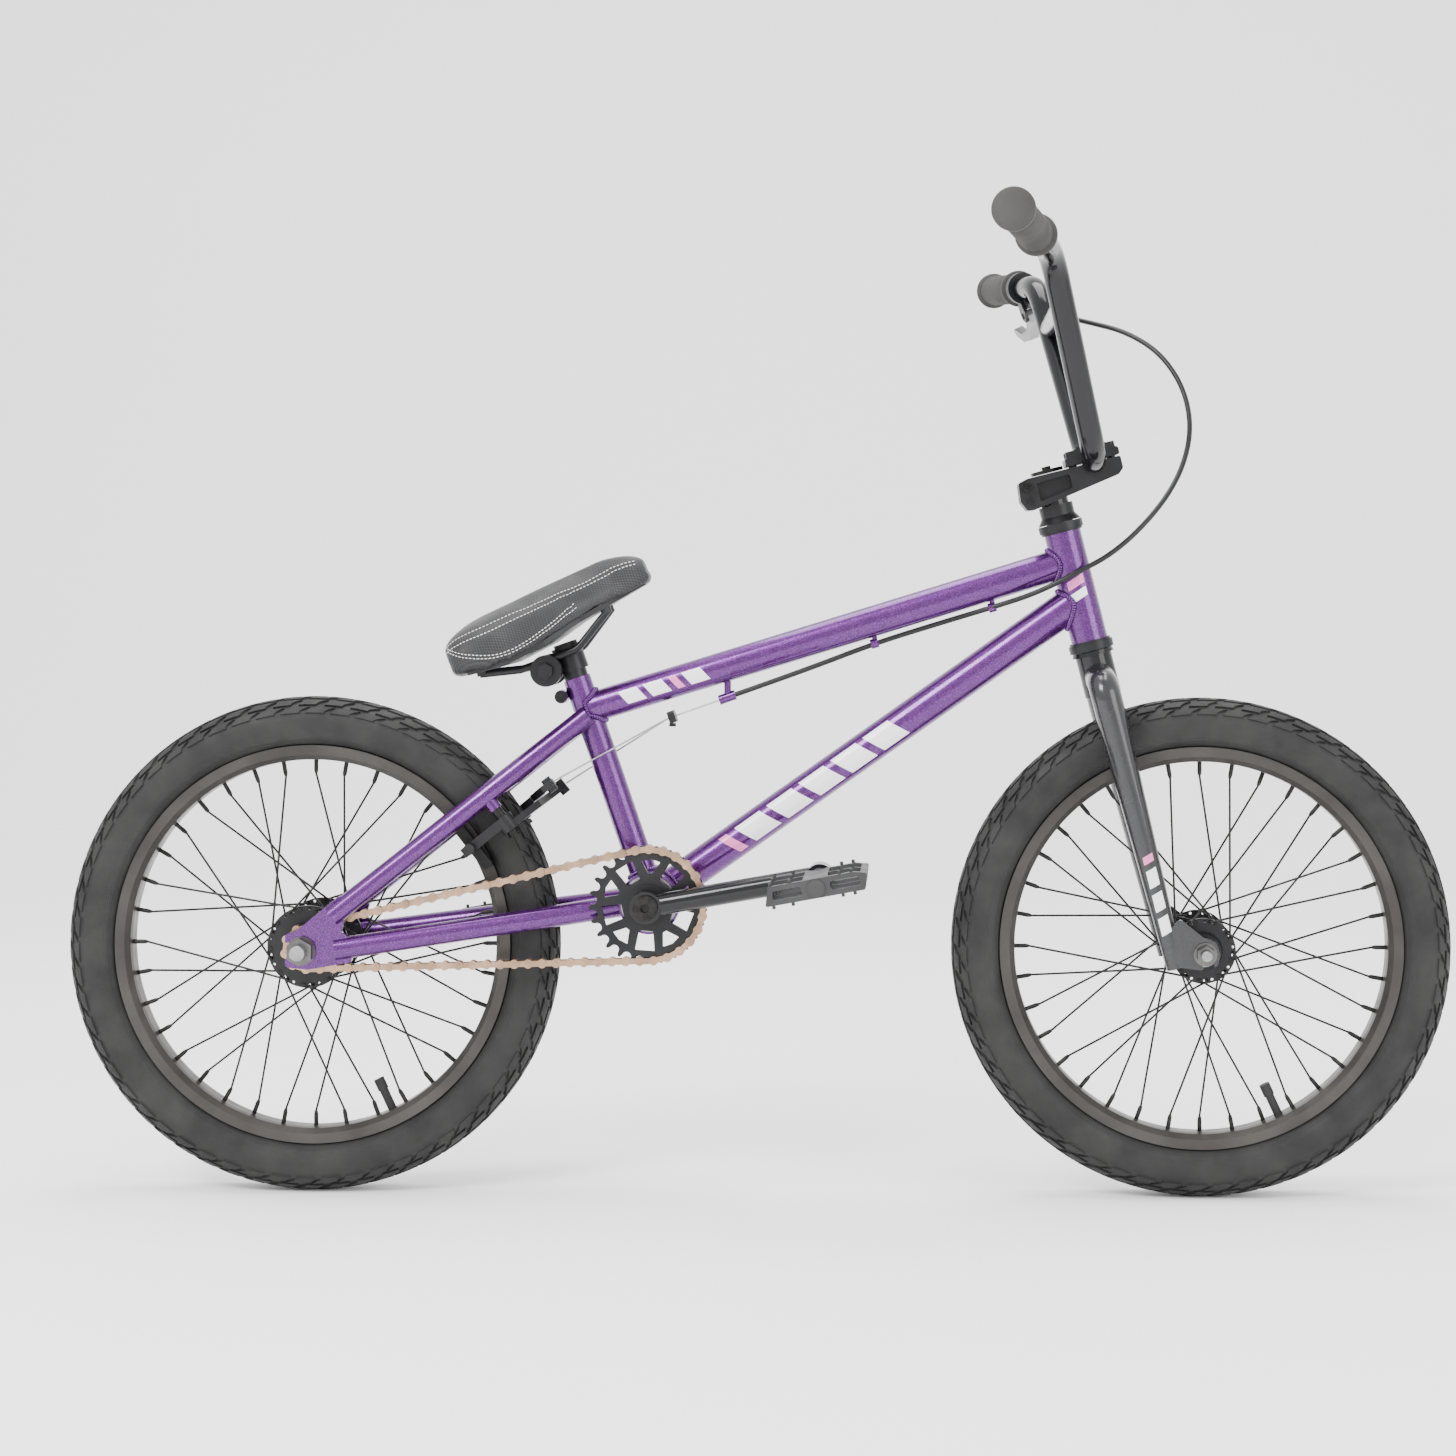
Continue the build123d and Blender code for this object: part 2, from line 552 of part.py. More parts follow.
# One offset link lets an odd number of pitches close: narrow at one end, wide at the other.
with BuildPart() as half_link:
    for hand in (-1, 1):
        for end, level in ((-CHAIN_PITCH / 2, inner_face), (CHAIN_PITCH / 2, outer_face)):
            add_rod((end, hand * level, 0), (end, hand * (level + PLATE_THICKNESS), 0), LINK_END_RADIUS)
        with BuildSketch(Plane.XY.offset(-2.6)) as joggle:
            with BuildLine():
                Polyline(
                    (-CHAIN_PITCH / 2 + 3.0, hand * inner_face),
                    (-1.4, hand * inner_face),
                    (1.4, hand * outer_face),
                    (CHAIN_PITCH / 2 - 3.0, hand * outer_face),
                    (CHAIN_PITCH / 2 - 3.0, hand * (outer_face + PLATE_THICKNESS)),
                    (1.0, hand * (outer_face + PLATE_THICKNESS)),
                    (-1.8, hand * (inner_face + PLATE_THICKNESS)),
                    (-CHAIN_PITCH / 2 + 3.0, hand * (inner_face + PLATE_THICKNESS)),
                    close=True,
                )
            make_face()
        extrude(to_extrude=joggle.sketch, amount=5.2)
    add_cross(-CHAIN_PITCH / 2, ROLLER_RADIUS, inner_face)
    add_rod((-CHAIN_PITCH / 2, -6, 0), (-CHAIN_PITCH / 2, 6, 0), PIN_RADIUS + 0.15, mode=Mode.SUBTRACT)
    add_cross(CHAIN_PITCH / 2, PIN_RADIUS, outer_face + PLATE_THICKNESS + 0.6)

chain_links = []
for number in range(CHAIN_PITCHES):
    first = chain_pin(number)
    second = chain_pin(number + 1)
    across = (second - first).cross(Y_AXIS)
    if number == CHAIN_PITCHES - 1:
        kind = half_link
    else:
        kind = outer_link if number % 2 else inner_link
    seat = Plane(origin=(first + second) * 0.5, x_dir=second - first, z_dir=across)
    chain_links.append(kind.part.moved(seat.location))

with BuildPart() as chain:
    add(chain_links)

# ---------------------------------------------------------------- fork
CROWN_DROP = 14.0
crown_level = HEAD_LOW - CUP_STACK - CROWN_DROP
STEM_LEVEL = HEAD_HIGH + STEM_RISE
steerer_top = STEM_LEVEL + STEM_HEIGHT - 1.0
LEG_TOP_LEVEL = crown_level - 10.0
LEG_LOW_LEVEL = -7.0
with BuildPart() as fork_steerer:
    add_rod(on_steering(crown_level - 28), on_steering(steerer_top), STEERER_RADIUS, STEERER_RADIUS - 2.4)
    add_rod(on_steering(crown_level - 28), on_steering(HEAD_LOW - CUP_STACK - 4.5), STEERER_RADIUS + 4.0,
            STEERER_RADIUS - 2.4)
    add_cone(on_steering(HEAD_LOW - CUP_STACK - 4.5), on_steering(HEAD_LOW - CUP_STACK - 0.5), CUP_RADIUS - 1.0,
             CUP_RADIUS - 2.0)
    add_rod(on_steering(crown_level - 29), on_steering(steerer_top + 1), STEERER_RADIUS - 2.4, mode=Mode.SUBTRACT)

front_dropout_face = FRONT_DROPOUT_WIDTH / 2
with BuildPart() as fork_legs:
    for side in (-1, 1):
        spread = side * FORK_LEG_SPREAD
        shoulder = on_steering(LEG_TOP_LEVEL - 30, 0, spread)
        add_cone(on_steering(LEG_LOW_LEVEL, 0, spread), shoulder, FORK_LEG_END_RADIUS, FORK_LEG_TOP_RADIUS)
        # The top of each leg leans in to the steerer.
        add_pipe(
            [shoulder, on_steering(LEG_TOP_LEVEL - 8, 0, spread), on_steering(crown_level - 12, 0, side * 12.0)],
            14.5,
            FORK_LEG_TOP_RADIUS,
        )
        add_cone(shoulder - head_up * 0.5, shoulder + head_up * 0.5, FORK_LEG_TOP_RADIUS, FORK_LEG_TOP_RADIUS)
        face = FRONT + Y_AXIS * (-front_dropout_face if side < 0 else front_dropout_face + DROPOUT_THICKNESS - 1)
        with BuildSketch(side_plane(face, head_ahead)) as plate:
            with BuildLine():
                Polyline((-FORK_OFFSET - 2, 26), (-FORK_OFFSET - 2, -4), (-8, -13), (8, -13), (13, -4), (12, 8),
                         (2, 15), (-14, 36), close=True)
            make_face()
            fillet(plate.vertices(), 3.0)
            with Locations((0, -8)):
                SlotOverall(2 * 8 + 2 * FRONT_AXLE_RADIUS + 0.4, 2 * FRONT_AXLE_RADIUS + 0.4, rotation=90,
                            mode=Mode.SUBTRACT)
        extrude(to_extrude=plate.sketch, amount=DROPOUT_THICKNESS - 1)
    add_rod(on_steering(crown_level - 40), on_steering(HEAD_LOW), STEERER_RADIUS + 4.0, mode=Mode.SUBTRACT)
    add_rod(on_steering(HEAD_LOW - CUP_STACK - 6), on_steering(HEAD_LOW), CUP_RADIUS + 30.0, mode=Mode.SUBTRACT)
    # The legs stay clear of the wheel between them.
    add_rod(FRONT - Y_AXIS * (TYRE_WIDTH / 2 + 3), FRONT + Y_AXIS * (TYRE_WIDTH / 2 + 3), TYRE_RADIUS + 6,
            mode=Mode.SUBTRACT)

with BuildPart() as headset_spacers:
    cover_low = HEAD_HIGH + CUP_STACK + 0.5
    add_cone(on_steering(cover_low), on_steering(cover_low + 6), CUP_RADIUS - 0.5, STEERER_RADIUS + 3.2)
    add_rod(on_steering(cover_low + 6), on_steering(STEM_LEVEL), STEERER_RADIUS + 3.0)
    add_rod(on_steering(HEAD_HIGH), on_steering(STEM_LEVEL + 1), STEERER_RADIUS + LIGHT_FIT, mode=Mode.SUBTRACT)

FRONT_AXLE_OVERHANG = 17.0
FRONT_NUT_REACH = 10.0
front_out = front_dropout_face + DROPOUT_THICKNESS - 1
with BuildPart() as front_axle:
    front_axle_half = front_out + FRONT_AXLE_OVERHANG
    add_rod(FRONT - Y_AXIS * front_axle_half, FRONT + Y_AXIS * front_axle_half, FRONT_AXLE_RADIUS)
    chamfer(front_axle.edges().filter_by(GeomType.CIRCLE), 0.6)
    for side in (-1, 1):
        groove = FRONT + Y_AXIS * side * (front_out + FRONT_NUT_REACH)
        add_rod(groove - Y_AXIS * side * GROOVE_WIDTH, groove, FRONT_AXLE_RADIUS + 1,
                FRONT_AXLE_RADIUS - GROOVE_DEPTH, mode=Mode.SUBTRACT)

with BuildPart() as front_axle_nuts:
    for side in (-1, 1):
        washer = FRONT + Y_AXIS * side * (front_out + 2.0)
        nut = FRONT + Y_AXIS * side * (front_out + FRONT_NUT_REACH)
        add_rod(FRONT + Y_AXIS * side * front_out, washer, 10.5, FRONT_AXLE_RADIUS + LIGHT_FIT)
        add_hex(washer, nut, 15.0, FRONT_AXLE_RADIUS + LIGHT_FIT)
        cone_in = FRONT + Y_AXIS * side * (front_dropout_face - 6.0)
        add_rod(cone_in, FRONT + Y_AXIS * side * front_dropout_face, 7.5, FRONT_AXLE_RADIUS + LIGHT_FIT)

# ---------------------------------------------------------------- stem
clamp_level = HEAD_HIGH + BAR_CLAMP_HEIGHT
BAR_CENTRE = on_steering(clamp_level, STEM_REACH)
bar_half_seat = BAR_RADIUS + LIGHT_FIT
stem_top = STEM_LEVEL + STEM_HEIGHT
STEM_SPLIT = 0.8
with BuildPart() as stem_body:
    stem_side = Plane(origin=on_steering(STEM_LEVEL, 0, STEM_WIDTH / 2), x_dir=head_ahead, z_dir=-Y_AXIS)
    with BuildSketch(stem_side) as stem_outline:
        with BuildLine():
            Polyline(
                (-27, 1),
                (-20, 0),
                (STEM_REACH + 20, 13),
                (STEM_REACH + 25, 18),
                (STEM_REACH + 25, clamp_level - STEM_LEVEL - STEM_SPLIT),
                (STEM_REACH - 25, clamp_level - STEM_LEVEL - STEM_SPLIT),
                (-20, STEM_HEIGHT - STEM_SPLIT),
                (-29, STEM_HEIGHT - 3),
                (-31, 10),
                close=True,
            )
        make_face()
        fillet(stem_outline.vertices(), 2.0)
    extrude(to_extrude=stem_outline.sketch, amount=STEM_WIDTH)
    add_rod(on_steering(STEM_LEVEL - 1), on_steering(stem_top + 12), STEERER_RADIUS + LIGHT_FIT, mode=Mode.SUBTRACT)
    add_rod(BAR_CENTRE - Y_AXIS * STEM_WIDTH, BAR_CENTRE + Y_AXIS * STEM_WIDTH, bar_half_seat, mode=Mode.SUBTRACT)
    # Pockets through both cheeks leave the steerer sleeve between them.
    for side in (-1, 1):
        pocket = Plane(origin=on_steering(STEM_LEVEL, 0, side * STEM_WIDTH / 2), x_dir=head_ahead, z_dir=-Y_AXIS)
        with BuildSketch(pocket) as pocket_outline:
            with BuildLine():
                Polyline((-13, 6), (18, 11), (18, 24), (-13, 23), close=True)
            make_face()
            fillet(pocket_outline.vertices(), 2.0)
        extrude(to_extrude=pocket_outline.sketch, amount=8.0 * side, mode=Mode.SUBTRACT)
    # A slot behind the steerer lets the two pinch bolts close the stem on it.
    slot_low = on_steering(STEM_LEVEL - 1, -24)
    with BuildSketch(Plane(origin=slot_low, x_dir=Y_AXIS, z_dir=head_up)) as pinch_slot:
        Rectangle(3.0, 26.0)
    extrude(to_extrude=pinch_slot.sketch, amount=STEM_HEIGHT + 4, mode=Mode.SUBTRACT)
    for level in (9.0, 22.0):
        bolt_low = on_steering(STEM_LEVEL + level, -22.0, -STEM_WIDTH)
        add_rod(bolt_low, bolt_low + Y_AXIS * 2 * STEM_WIDTH, 3.05, mode=Mode.SUBTRACT)
    for ahead in (-18.0, 18.0):
        for side in (-16.0, 16.0):
            hole = BAR_CENTRE + head_ahead * ahead + Y_AXIS * side
            add_rod(hole - head_up * 14, hole + head_up * 2, 3.05, mode=Mode.SUBTRACT)

CAP_HEIGHT = 17.0
with BuildPart() as stem_cap:
    cap_side = Plane(origin=BAR_CENTRE + Y_AXIS * STEM_WIDTH / 2, x_dir=head_ahead, z_dir=-Y_AXIS)
    with BuildSketch(cap_side) as cap_outline:
        with BuildLine():
            Polyline((-25, STEM_SPLIT), (25, STEM_SPLIT), (25, 7), (12, CAP_HEIGHT - 1), (0, CAP_HEIGHT),
                     (-12, CAP_HEIGHT - 1), (-25, 7), close=True)
        make_face()
        fillet(cap_outline.vertices(), 1.5)
    extrude(to_extrude=cap_outline.sketch, amount=STEM_WIDTH)
    add_rod(BAR_CENTRE - Y_AXIS * STEM_WIDTH, BAR_CENTRE + Y_AXIS * STEM_WIDTH, bar_half_seat, mode=Mode.SUBTRACT)
    for ahead in (-18.0, 18.0):
        for side in (-16.0, 16.0):
            hole = BAR_CENTRE + head_ahead * ahead + Y_AXIS * side
            add_rod(hole - head_up, hole + head_up * 20, 3.05, mode=Mode.SUBTRACT)
            add_rod(hole + head_up * 7.0, hole + head_up * 22, 5.6, mode=Mode.SUBTRACT)

with BuildPart() as stem_bolts:
    for ahead in (-18.0, 18.0):
        for side in (-16.0, 16.0):
            hole = BAR_CENTRE + head_ahead * ahead + Y_AXIS * side
            add_rod(hole - head_up * 13, hole + head_up * 7.0, 3.0)
            add_rod(hole + head_up * 7.0, hole + head_up * 14.0, 5.0)
            add_rod(hole + head_up * 10.0, hole + head_up * 14.0, 2.4, mode=Mode.SUBTRACT)
    for level, side in ((9.0, 1), (22.0, -1)):
        bolt_at = on_steering(STEM_LEVEL + level, -22.0, side * (STEM_WIDTH / 2 + 5.0))
        add_rod(bolt_at, bolt_at - Y_AXIS * side * 5.0, 5.0)
        add_rod(bolt_at, bolt_at - Y_AXIS * side * (STEM_WIDTH + 8.0), 3.0)
        add_rod(bolt_at, bolt_at - Y_AXIS * side * 3.0, 2.4, mode=Mode.SUBTRACT)
    # The top cap and its bolt close the steerer.
    cap_seat = on_steering(stem_top + 0.3)
    add_rod(cap_seat, cap_seat + head_up * 3.0, 15.0)
    add_rod(cap_seat + head_up * 3.0, cap_seat + head_up * 6.0, 4.2)

# ---------------------------------------------------------------- handlebar and grips
lean = tan(radians(BAR_LEAN))


def on_upright(rise, side):
    """A point on a handlebar upright at a height above the clamp."""
    share = rise / BAR_RISE
    out = BAR_LOWER_BEND + (BAR_UPPER_BEND - BAR_LOWER_BEND) * share
    return BAR_CENTRE + Vector(-rise * lean, side * out, rise)


def bar_end(side):
    """The centre of the open end of the handlebar."""
    rise = BAR_RISE + BAR_UPSWEEP
    return BAR_CENTRE + Vector(-BAR_RISE * lean - BAR_BACKSWEEP, side * BAR_HALF_WIDTH, rise)


bar_points = [bar_end(-1), on_upright(BAR_RISE, -1), on_upright(0, -1), on_upright(0, 1), on_upright(BAR_RISE, 1)]
bar_points.append(bar_end(1))
with BuildPart() as handlebar:
    add_pipe(bar_points, 50.0, BAR_RADIUS, BAR_RADIUS - BAR_WALL)
    add_rod(on_upright(CROSSBAR_RISE, -1), on_upright(CROSSBAR_RISE, 1), CROSSBAR_RADIUS, CROSSBAR_RADIUS - BAR_WALL)
    add_pipe(bar_points, 50.0, BAR_RADIUS - BAR_WALL, mode=Mode.SUBTRACT)

GRIP_END = 5.0
with BuildPart() as grips:
    for side in (-1, 1):
        tip = bar_end(side)
        inward = (on_upright(BAR_RISE, side) - tip).normalized()
        add_rod(tip - inward * GRIP_END, tip + inward * (GRIP_LENGTH - GRIP_END), GRIP_RADIUS)
        add_rod(tip - inward * GRIP_END, tip - inward * (GRIP_END - 6.0), GRIP_FLANGE_RADIUS)
        add_rod(tip + inward * (GRIP_LENGTH - GRIP_END - 4), tip + inward * (GRIP_LENGTH - GRIP_END),
                GRIP_FLANGE_RADIUS)
        add_rod(tip, tip + inward * GRIP_LENGTH, BAR_RADIUS + LIGHT_FIT, mode=Mode.SUBTRACT)

# ---------------------------------------------------------------- brake lever on the left grip's inner end
lever_out = (bar_end(1) - on_upright(BAR_RISE, 1)).normalized()
lever_clamp = bar_end(1) - lever_out * (GRIP_LENGTH + 8.0)
lever_down = Vector(0.40, 0, -0.92).normalized()
lever_down = (lever_down - lever_out * lever_down.dot(lever_out)).normalized()
lever_axis = lever_out.cross(lever_down).normalized()
LEVER_PIVOT_DROP = 27.0
LEVER_PIVOT_RADIUS = 3.0
LEVER_GAP_HALF = 5.0
CLAMP_WIDTH = 12.0
ADJUSTER_LENGTH = 14.0


def by_lever(out, down, along=0.0):
    """A point in the lever's own frame: outboard along the bar, away from it, and along the pivot."""
    return lever_clamp + lever_out * out + lever_down * down + lever_axis * along


lever_pivot = by_lever(6.0, LEVER_PIVOT_DROP)
housing_end = route[-1]
housing_way = (route[-2] - route[-1]).normalized()
with BuildPart() as lever_bracket:
    add_rod(by_lever(-CLAMP_WIDTH / 2, 0), by_lever(CLAMP_WIDTH / 2, 0), BAR_RADIUS + 4.5)
    for along in (-LEVER_GAP_HALF - 3.5, LEVER_GAP_HALF):
        with BuildSketch(Plane(origin=by_lever(0, 0, along), x_dir=lever_out, z_dir=lever_axis)) as cheek:
            with BuildLine():
                Polyline((-6, 8), (5, 8), (12, LEVER_PIVOT_DROP - 4), (12, LEVER_PIVOT_DROP + 4),
                         (4, LEVER_PIVOT_DROP + 7), (-8, LEVER_PIVOT_DROP - 4), close=True)
            make_face()
            fillet(cheek.vertices(), 2.0)
        extrude(to_extrude=cheek.sketch, amount=3.5)
    add_rod(by_lever(-9, 14, -LEVER_GAP_HALF), by_lever(-9, 14, LEVER_GAP_HALF), 6.5)
    adjuster_back = housing_end - housing_way * ADJUSTER_LENGTH
    add_rod(by_lever(-7, 15), adjuster_back, 5.0)
    add_rod(adjuster_back, housing_end, 4.4)
    add_rod(by_lever(6, LEVER_PIVOT_DROP, -LEVER_GAP_HALF - 4.5), by_lever(6, LEVER_PIVOT_DROP, LEVER_GAP_HALF + 4.5),
            LEVER_PIVOT_RADIUS)
    add_rod(by_lever(-40, 0), by_lever(40, 0), BAR_RADIUS + LIGHT_FIT, mode=Mode.SUBTRACT)

blade_half = LEVER_GAP_HALF - 0.4
with BuildPart() as brake_lever:
    with BuildSketch(Plane(origin=by_lever(0, 0, -blade_half), x_dir=lever_out, z_dir=lever_axis)) as blade:
        with BuildLine():
            Polyline(
                (0, LEVER_PIVOT_DROP + 1),
                (2, LEVER_PIVOT_DROP - 5),
                (9, LEVER_PIVOT_DROP - 5),
                (17, LEVER_PIVOT_DROP + 6),
                (32, 44),
                (62, 47),
                (84, 41),
                (88, 45),
                (84, 49),
                (62, 56),
                (30, 54),
                (10, 41),
                (0, LEVER_PIVOT_DROP + 8),
                close=True,
            )
        make_face()
        fillet(blade.vertices(), 1.8)
    extrude(to_extrude=blade.sketch, amount=2 * blade_half)
    add_rod(lever_pivot - lever_axis * 8, lever_pivot + lever_axis * 8, LEVER_PIVOT_RADIUS + RUNNING_FIT,
            mode=Mode.SUBTRACT)
    # The bracket's back and the adjuster keep their own room.
    add_rod(by_lever(-9, 14, -6), by_lever(-9, 14, 6), 8.0, mode=Mode.SUBTRACT)

# ---------------------------------------------------------------- wheels
NIPPLE_SEAT = 3.6
ELBOW_ROOM = 2.2


def spoke_ends(centre, number, flange_radius, flange_level, flange_thickness):
    """The hub hole and rim hole of one spoke: four kinds repeat round the wheel."""
    side = 1 if number % 2 else -1
    lead = 1 if (number // 2) % 2 else -1
    step = 2 * pi / SPOKES_PER_WHEEL
    rim_angle = number * step
    hub_angle = rim_angle + lead * radians(60.0) - lead * step * 0.25
    level = side * (flange_level + lead * (flange_thickness / 2 + SPOKE_RADIUS + ELBOW_ROOM))
    hub_hole = centre + Vector(cos(hub_angle) * flange_radius, level, sin(hub_angle) * flange_radius)
    nipple_top = RIM_RADIUS - RIM_DEPTH - 13.0
    rim_hole = centre + Vector(cos(rim_angle) * nipple_top, side * 2.2, sin(rim_angle) * nipple_top)
    return hub_hole, rim_hole, side, rim_angle, hub_angle


def add_hub_shell(centre, ends, axle_radius, flange_radius, flange_level, flange_thickness):
    """Adds a turned hub shell with two drilled spoke flanges, from ends[0] on the right to ends[1]."""
    bearing_radius = axle_radius + 8.5
    waist = bearing_radius + 1.0
    outer = flange_level + flange_thickness / 2
    inner = flange_level - flange_thickness / 2
    rim = flange_radius + 2.6
    cap = bearing_radius + 2.5
    flange = [(outer, cap + 2), (outer, rim), (inner, rim), (inner, waist + 5), (inner - 8, waist)]
    left = [(ends[1], bearing_radius), (ends[1], cap)] + flange
    right = [(-level, radius) for level, radius in reversed(flange)] + [(-ends[0], cap), (-ends[0], bearing_radius)]
    add_turned(centre, left + right)
    hole_centres = [
        centre + Vector(cos(angle) * flange_radius, 0, sin(angle) * flange_radius)
        for angle in hub_hole_angles()
    ]
    for hole in hole_centres:
        add_rod(hole - Y_AXIS * ends[0], hole + Y_AXIS * ends[1], SPOKE_RADIUS + 0.3, mode=Mode.SUBTRACT)


def hub_hole_angles():
    """The angles of all the spoke holes in the hub's flanges."""
    return sorted({round(spoke_ends(REAR, number, 1, 1, 1)[4], 6) for number in range(SPOKES_PER_WHEEL)})


def add_hub_bearings(centre, ends, axle_radius):
    """Adds the two bearings that hold a hub on its axle."""
    for side, end_level in ((-1, ends[0]), (1, ends[1])):
        start = centre + Y_AXIS * side * (end_level - 10.0)
        end = centre + Y_AXIS * side * (end_level - 0.5)
        add_rod(start, end, axle_radius + 8.5 - LIGHT_FIT, axle_radius + RUNNING_FIT)


def add_spokes(centre, flange_radius, flange_level, flange_thickness):
    """Adds every spoke of a wheel with its head and its nipple."""
    pieces = []
    for number in range(SPOKES_PER_WHEEL):
        hub_hole, rim_hole, side, angle, _ = spoke_ends(centre, number, flange_radius, flange_level, flange_thickness)
        middle = centre + Vector(hub_hole.X - centre.X, side * flange_level, hub_hole.Z - centre.Z)
        across = (hub_hole - middle).normalized()
        head = middle - across * (flange_thickness / 2 + 0.9)
        outward = Vector(cos(angle), 0, sin(angle))
        nipple_way = (rim_hole - hub_hole).normalized()
        with BuildPart(mode=Mode.PRIVATE) as spoke:
            add_rod(head, hub_hole, SPOKE_RADIUS)
            add_rod(head - across * 0.7, head, SPOKE_RADIUS + 0.8)
            with Locations(hub_hole):
                Sphere(SPOKE_RADIUS)
            add_rod(hub_hole, rim_hole, SPOKE_RADIUS)
        with BuildPart(mode=Mode.PRIVATE) as nipple:
            add_cone(rim_hole, rim_hole + outward * 3.0, SPOKE_RADIUS + 0.4, NIPPLE_RADIUS)
            add_rod(rim_hole + outward * 3.0, rim_hole + outward * (13.0 + NIPPLE_SEAT), NIPPLE_RADIUS)
            add_rod(rim_hole + outward * (13.0 + NIPPLE_SEAT), rim_hole + outward * (14.6 + NIPPLE_SEAT), 3.0)
            add_rod(rim_hole - nipple_way * 2, rim_hole, SPOKE_RADIUS + 0.01, mode=Mode.SUBTRACT)
        pieces += [spoke.part, nipple.part]
    add(pieces)


VALVE_ANGLE = radians(-65.0)


def valve_way():
    """The direction from the axle to the valve."""
    return Vector(cos(VALVE_ANGLE), 0, sin(VALVE_ANGLE))


def add_rim(centre):
    """Adds a turned rim with its spoke holes and valve hole."""
    half = RIM_WIDTH / 2
    floor = RIM_RADIUS - RIM_DEPTH
    outline = [
        (half, RIM_RADIUS),
        (half - RIM_WALL, RIM_RADIUS),
        (half - RIM_WALL, BEAD_SEAT_RADIUS),
        (8.5, floor + NIPPLE_SEAT + 2.0),
        (6.5, floor + NIPPLE_SEAT - 0.1),
        (-6.5, floor + NIPPLE_SEAT - 0.1),
        (-8.5, floor + NIPPLE_SEAT + 2.0),
        (-half + RIM_WALL, BEAD_SEAT_RADIUS),
        (-half + RIM_WALL, RIM_RADIUS),
        (-half, RIM_RADIUS),
        (-half, RIM_RADIUS - 9.0),
        (-half + 5.0, floor + 0.6),
        (-6.0, floor),
        (6.0, floor),
        (half - 5.0, floor + 0.6),
        (half, RIM_RADIUS - 9.0),
    ]
    add_turned(centre, outline)
    for number in range(SPOKES_PER_WHEEL):
        _, rim_hole, _, angle, _ = spoke_ends(centre, number, 1, 1, 1)
        outward = Vector(cos(angle), 0, sin(angle))
        add_rod(rim_hole, rim_hole + outward * 30, NIPPLE_RADIUS + 0.1, mode=Mode.SUBTRACT)
    add_rod(centre + valve_way() * (floor - 20), centre + valve_way() * RIM_RADIUS, VALVE_RADIUS + 0.2,
            mode=Mode.SUBTRACT)


def tyre_outline(inset):
    """One half of the tyre's section from bead to crown, set in by a wall thickness."""
    half = TYRE_WIDTH / 2
    bead = RIM_WIDTH / 2 - RIM_WALL - 0.3
    belly = (RIM_RADIUS + TYRE_RADIUS) / 2 - 2.0
    return [
        (bead - inset, BEAD_SEAT_RADIUS + 0.3),
        (bead - inset, RIM_RADIUS + 1.0 + inset * 0.6),
        (half - inset, belly),
        (half * 0.68 - inset * 0.5, TYRE_RADIUS - 7.0 - inset),
        (0.0, TYRE_RADIUS - inset),
    ]


def add_tyre(centre):
    """Adds a tyre: a shell whose beads sit inside the rim's flanges."""
    axle_plane = Plane(origin=centre, x_dir=Y_AXIS, z_dir=X_AXIS)
    outer, inner = tyre_outline(0.0), tyre_outline(TYRE_WALL)
    flip = [(-y, r) for y, r in outer], [(-y, r) for y, r in inner]
    with BuildSketch(axle_plane) as section:
        with BuildLine():
            Line(outer[0], outer[1])
            ThreePointArc(outer[1], outer[2], outer[3])
            ThreePointArc(outer[3], outer[4], flip[0][3])
            ThreePointArc(flip[0][3], flip[0][2], flip[0][1])
            Line(flip[0][1], flip[0][0])
            Line(flip[0][0], flip[1][0])
            Line(flip[1][0], flip[1][1])
            ThreePointArc(flip[1][1], flip[1][2], flip[1][3])
            ThreePointArc(flip[1][3], inner[4], inner[3])
            ThreePointArc(inner[3], inner[2], inner[1])
            Line(inner[1], inner[0])
            Line(inner[0], outer[0])
        make_face()
    revolve(profiles=section.sketch, axis=Axis(centre, Y_AXIS))


def add_inner_tube(centre):
    """Adds an inner tube with its valve, which comes out through the rim."""
    tube_radius = min(TYRE_WIDTH / 2, (TYRE_RADIUS - RIM_RADIUS) / 2) - TYRE_WALL - 2.0
    tube_level = (RIM_RADIUS + TYRE_RADIUS) / 2 - 1.0
    with BuildSketch(Plane(origin=centre, x_dir=Y_AXIS, z_dir=X_AXIS)) as section:
        with Locations((0, tube_level)):
            Circle(tube_radius)
            Circle(tube_radius - 1.6, mode=Mode.SUBTRACT)
    revolve(profiles=section.sketch, axis=Axis(centre, Y_AXIS))
    foot = RIM_RADIUS - RIM_DEPTH
    valve_end = centre + valve_way() * (foot + NIPPLE_SEAT - VALVE_LENGTH)
    add_rod(valve_end, centre + valve_way() * (tube_level - tube_radius + 0.8), VALVE_RADIUS)
    add_rod(valve_end, valve_end + valve_way() * 11.0, VALVE_RADIUS + 0.9)


FLANGE_THICKNESS = 3.2
front_flange_level = FRONT_DROPOUT_WIDTH / 2 - 19.0
rear_flange_level = REAR_DROPOUT_WIDTH / 2 - 24.0
front_hub_ends = (FRONT_DROPOUT_WIDTH / 2 - 8.0, FRONT_DROPOUT_WIDTH / 2 - 8.0)
rear_hub_ends = (CHAIN_LINE - 6.4, REAR_DROPOUT_WIDTH / 2 - 8.0)

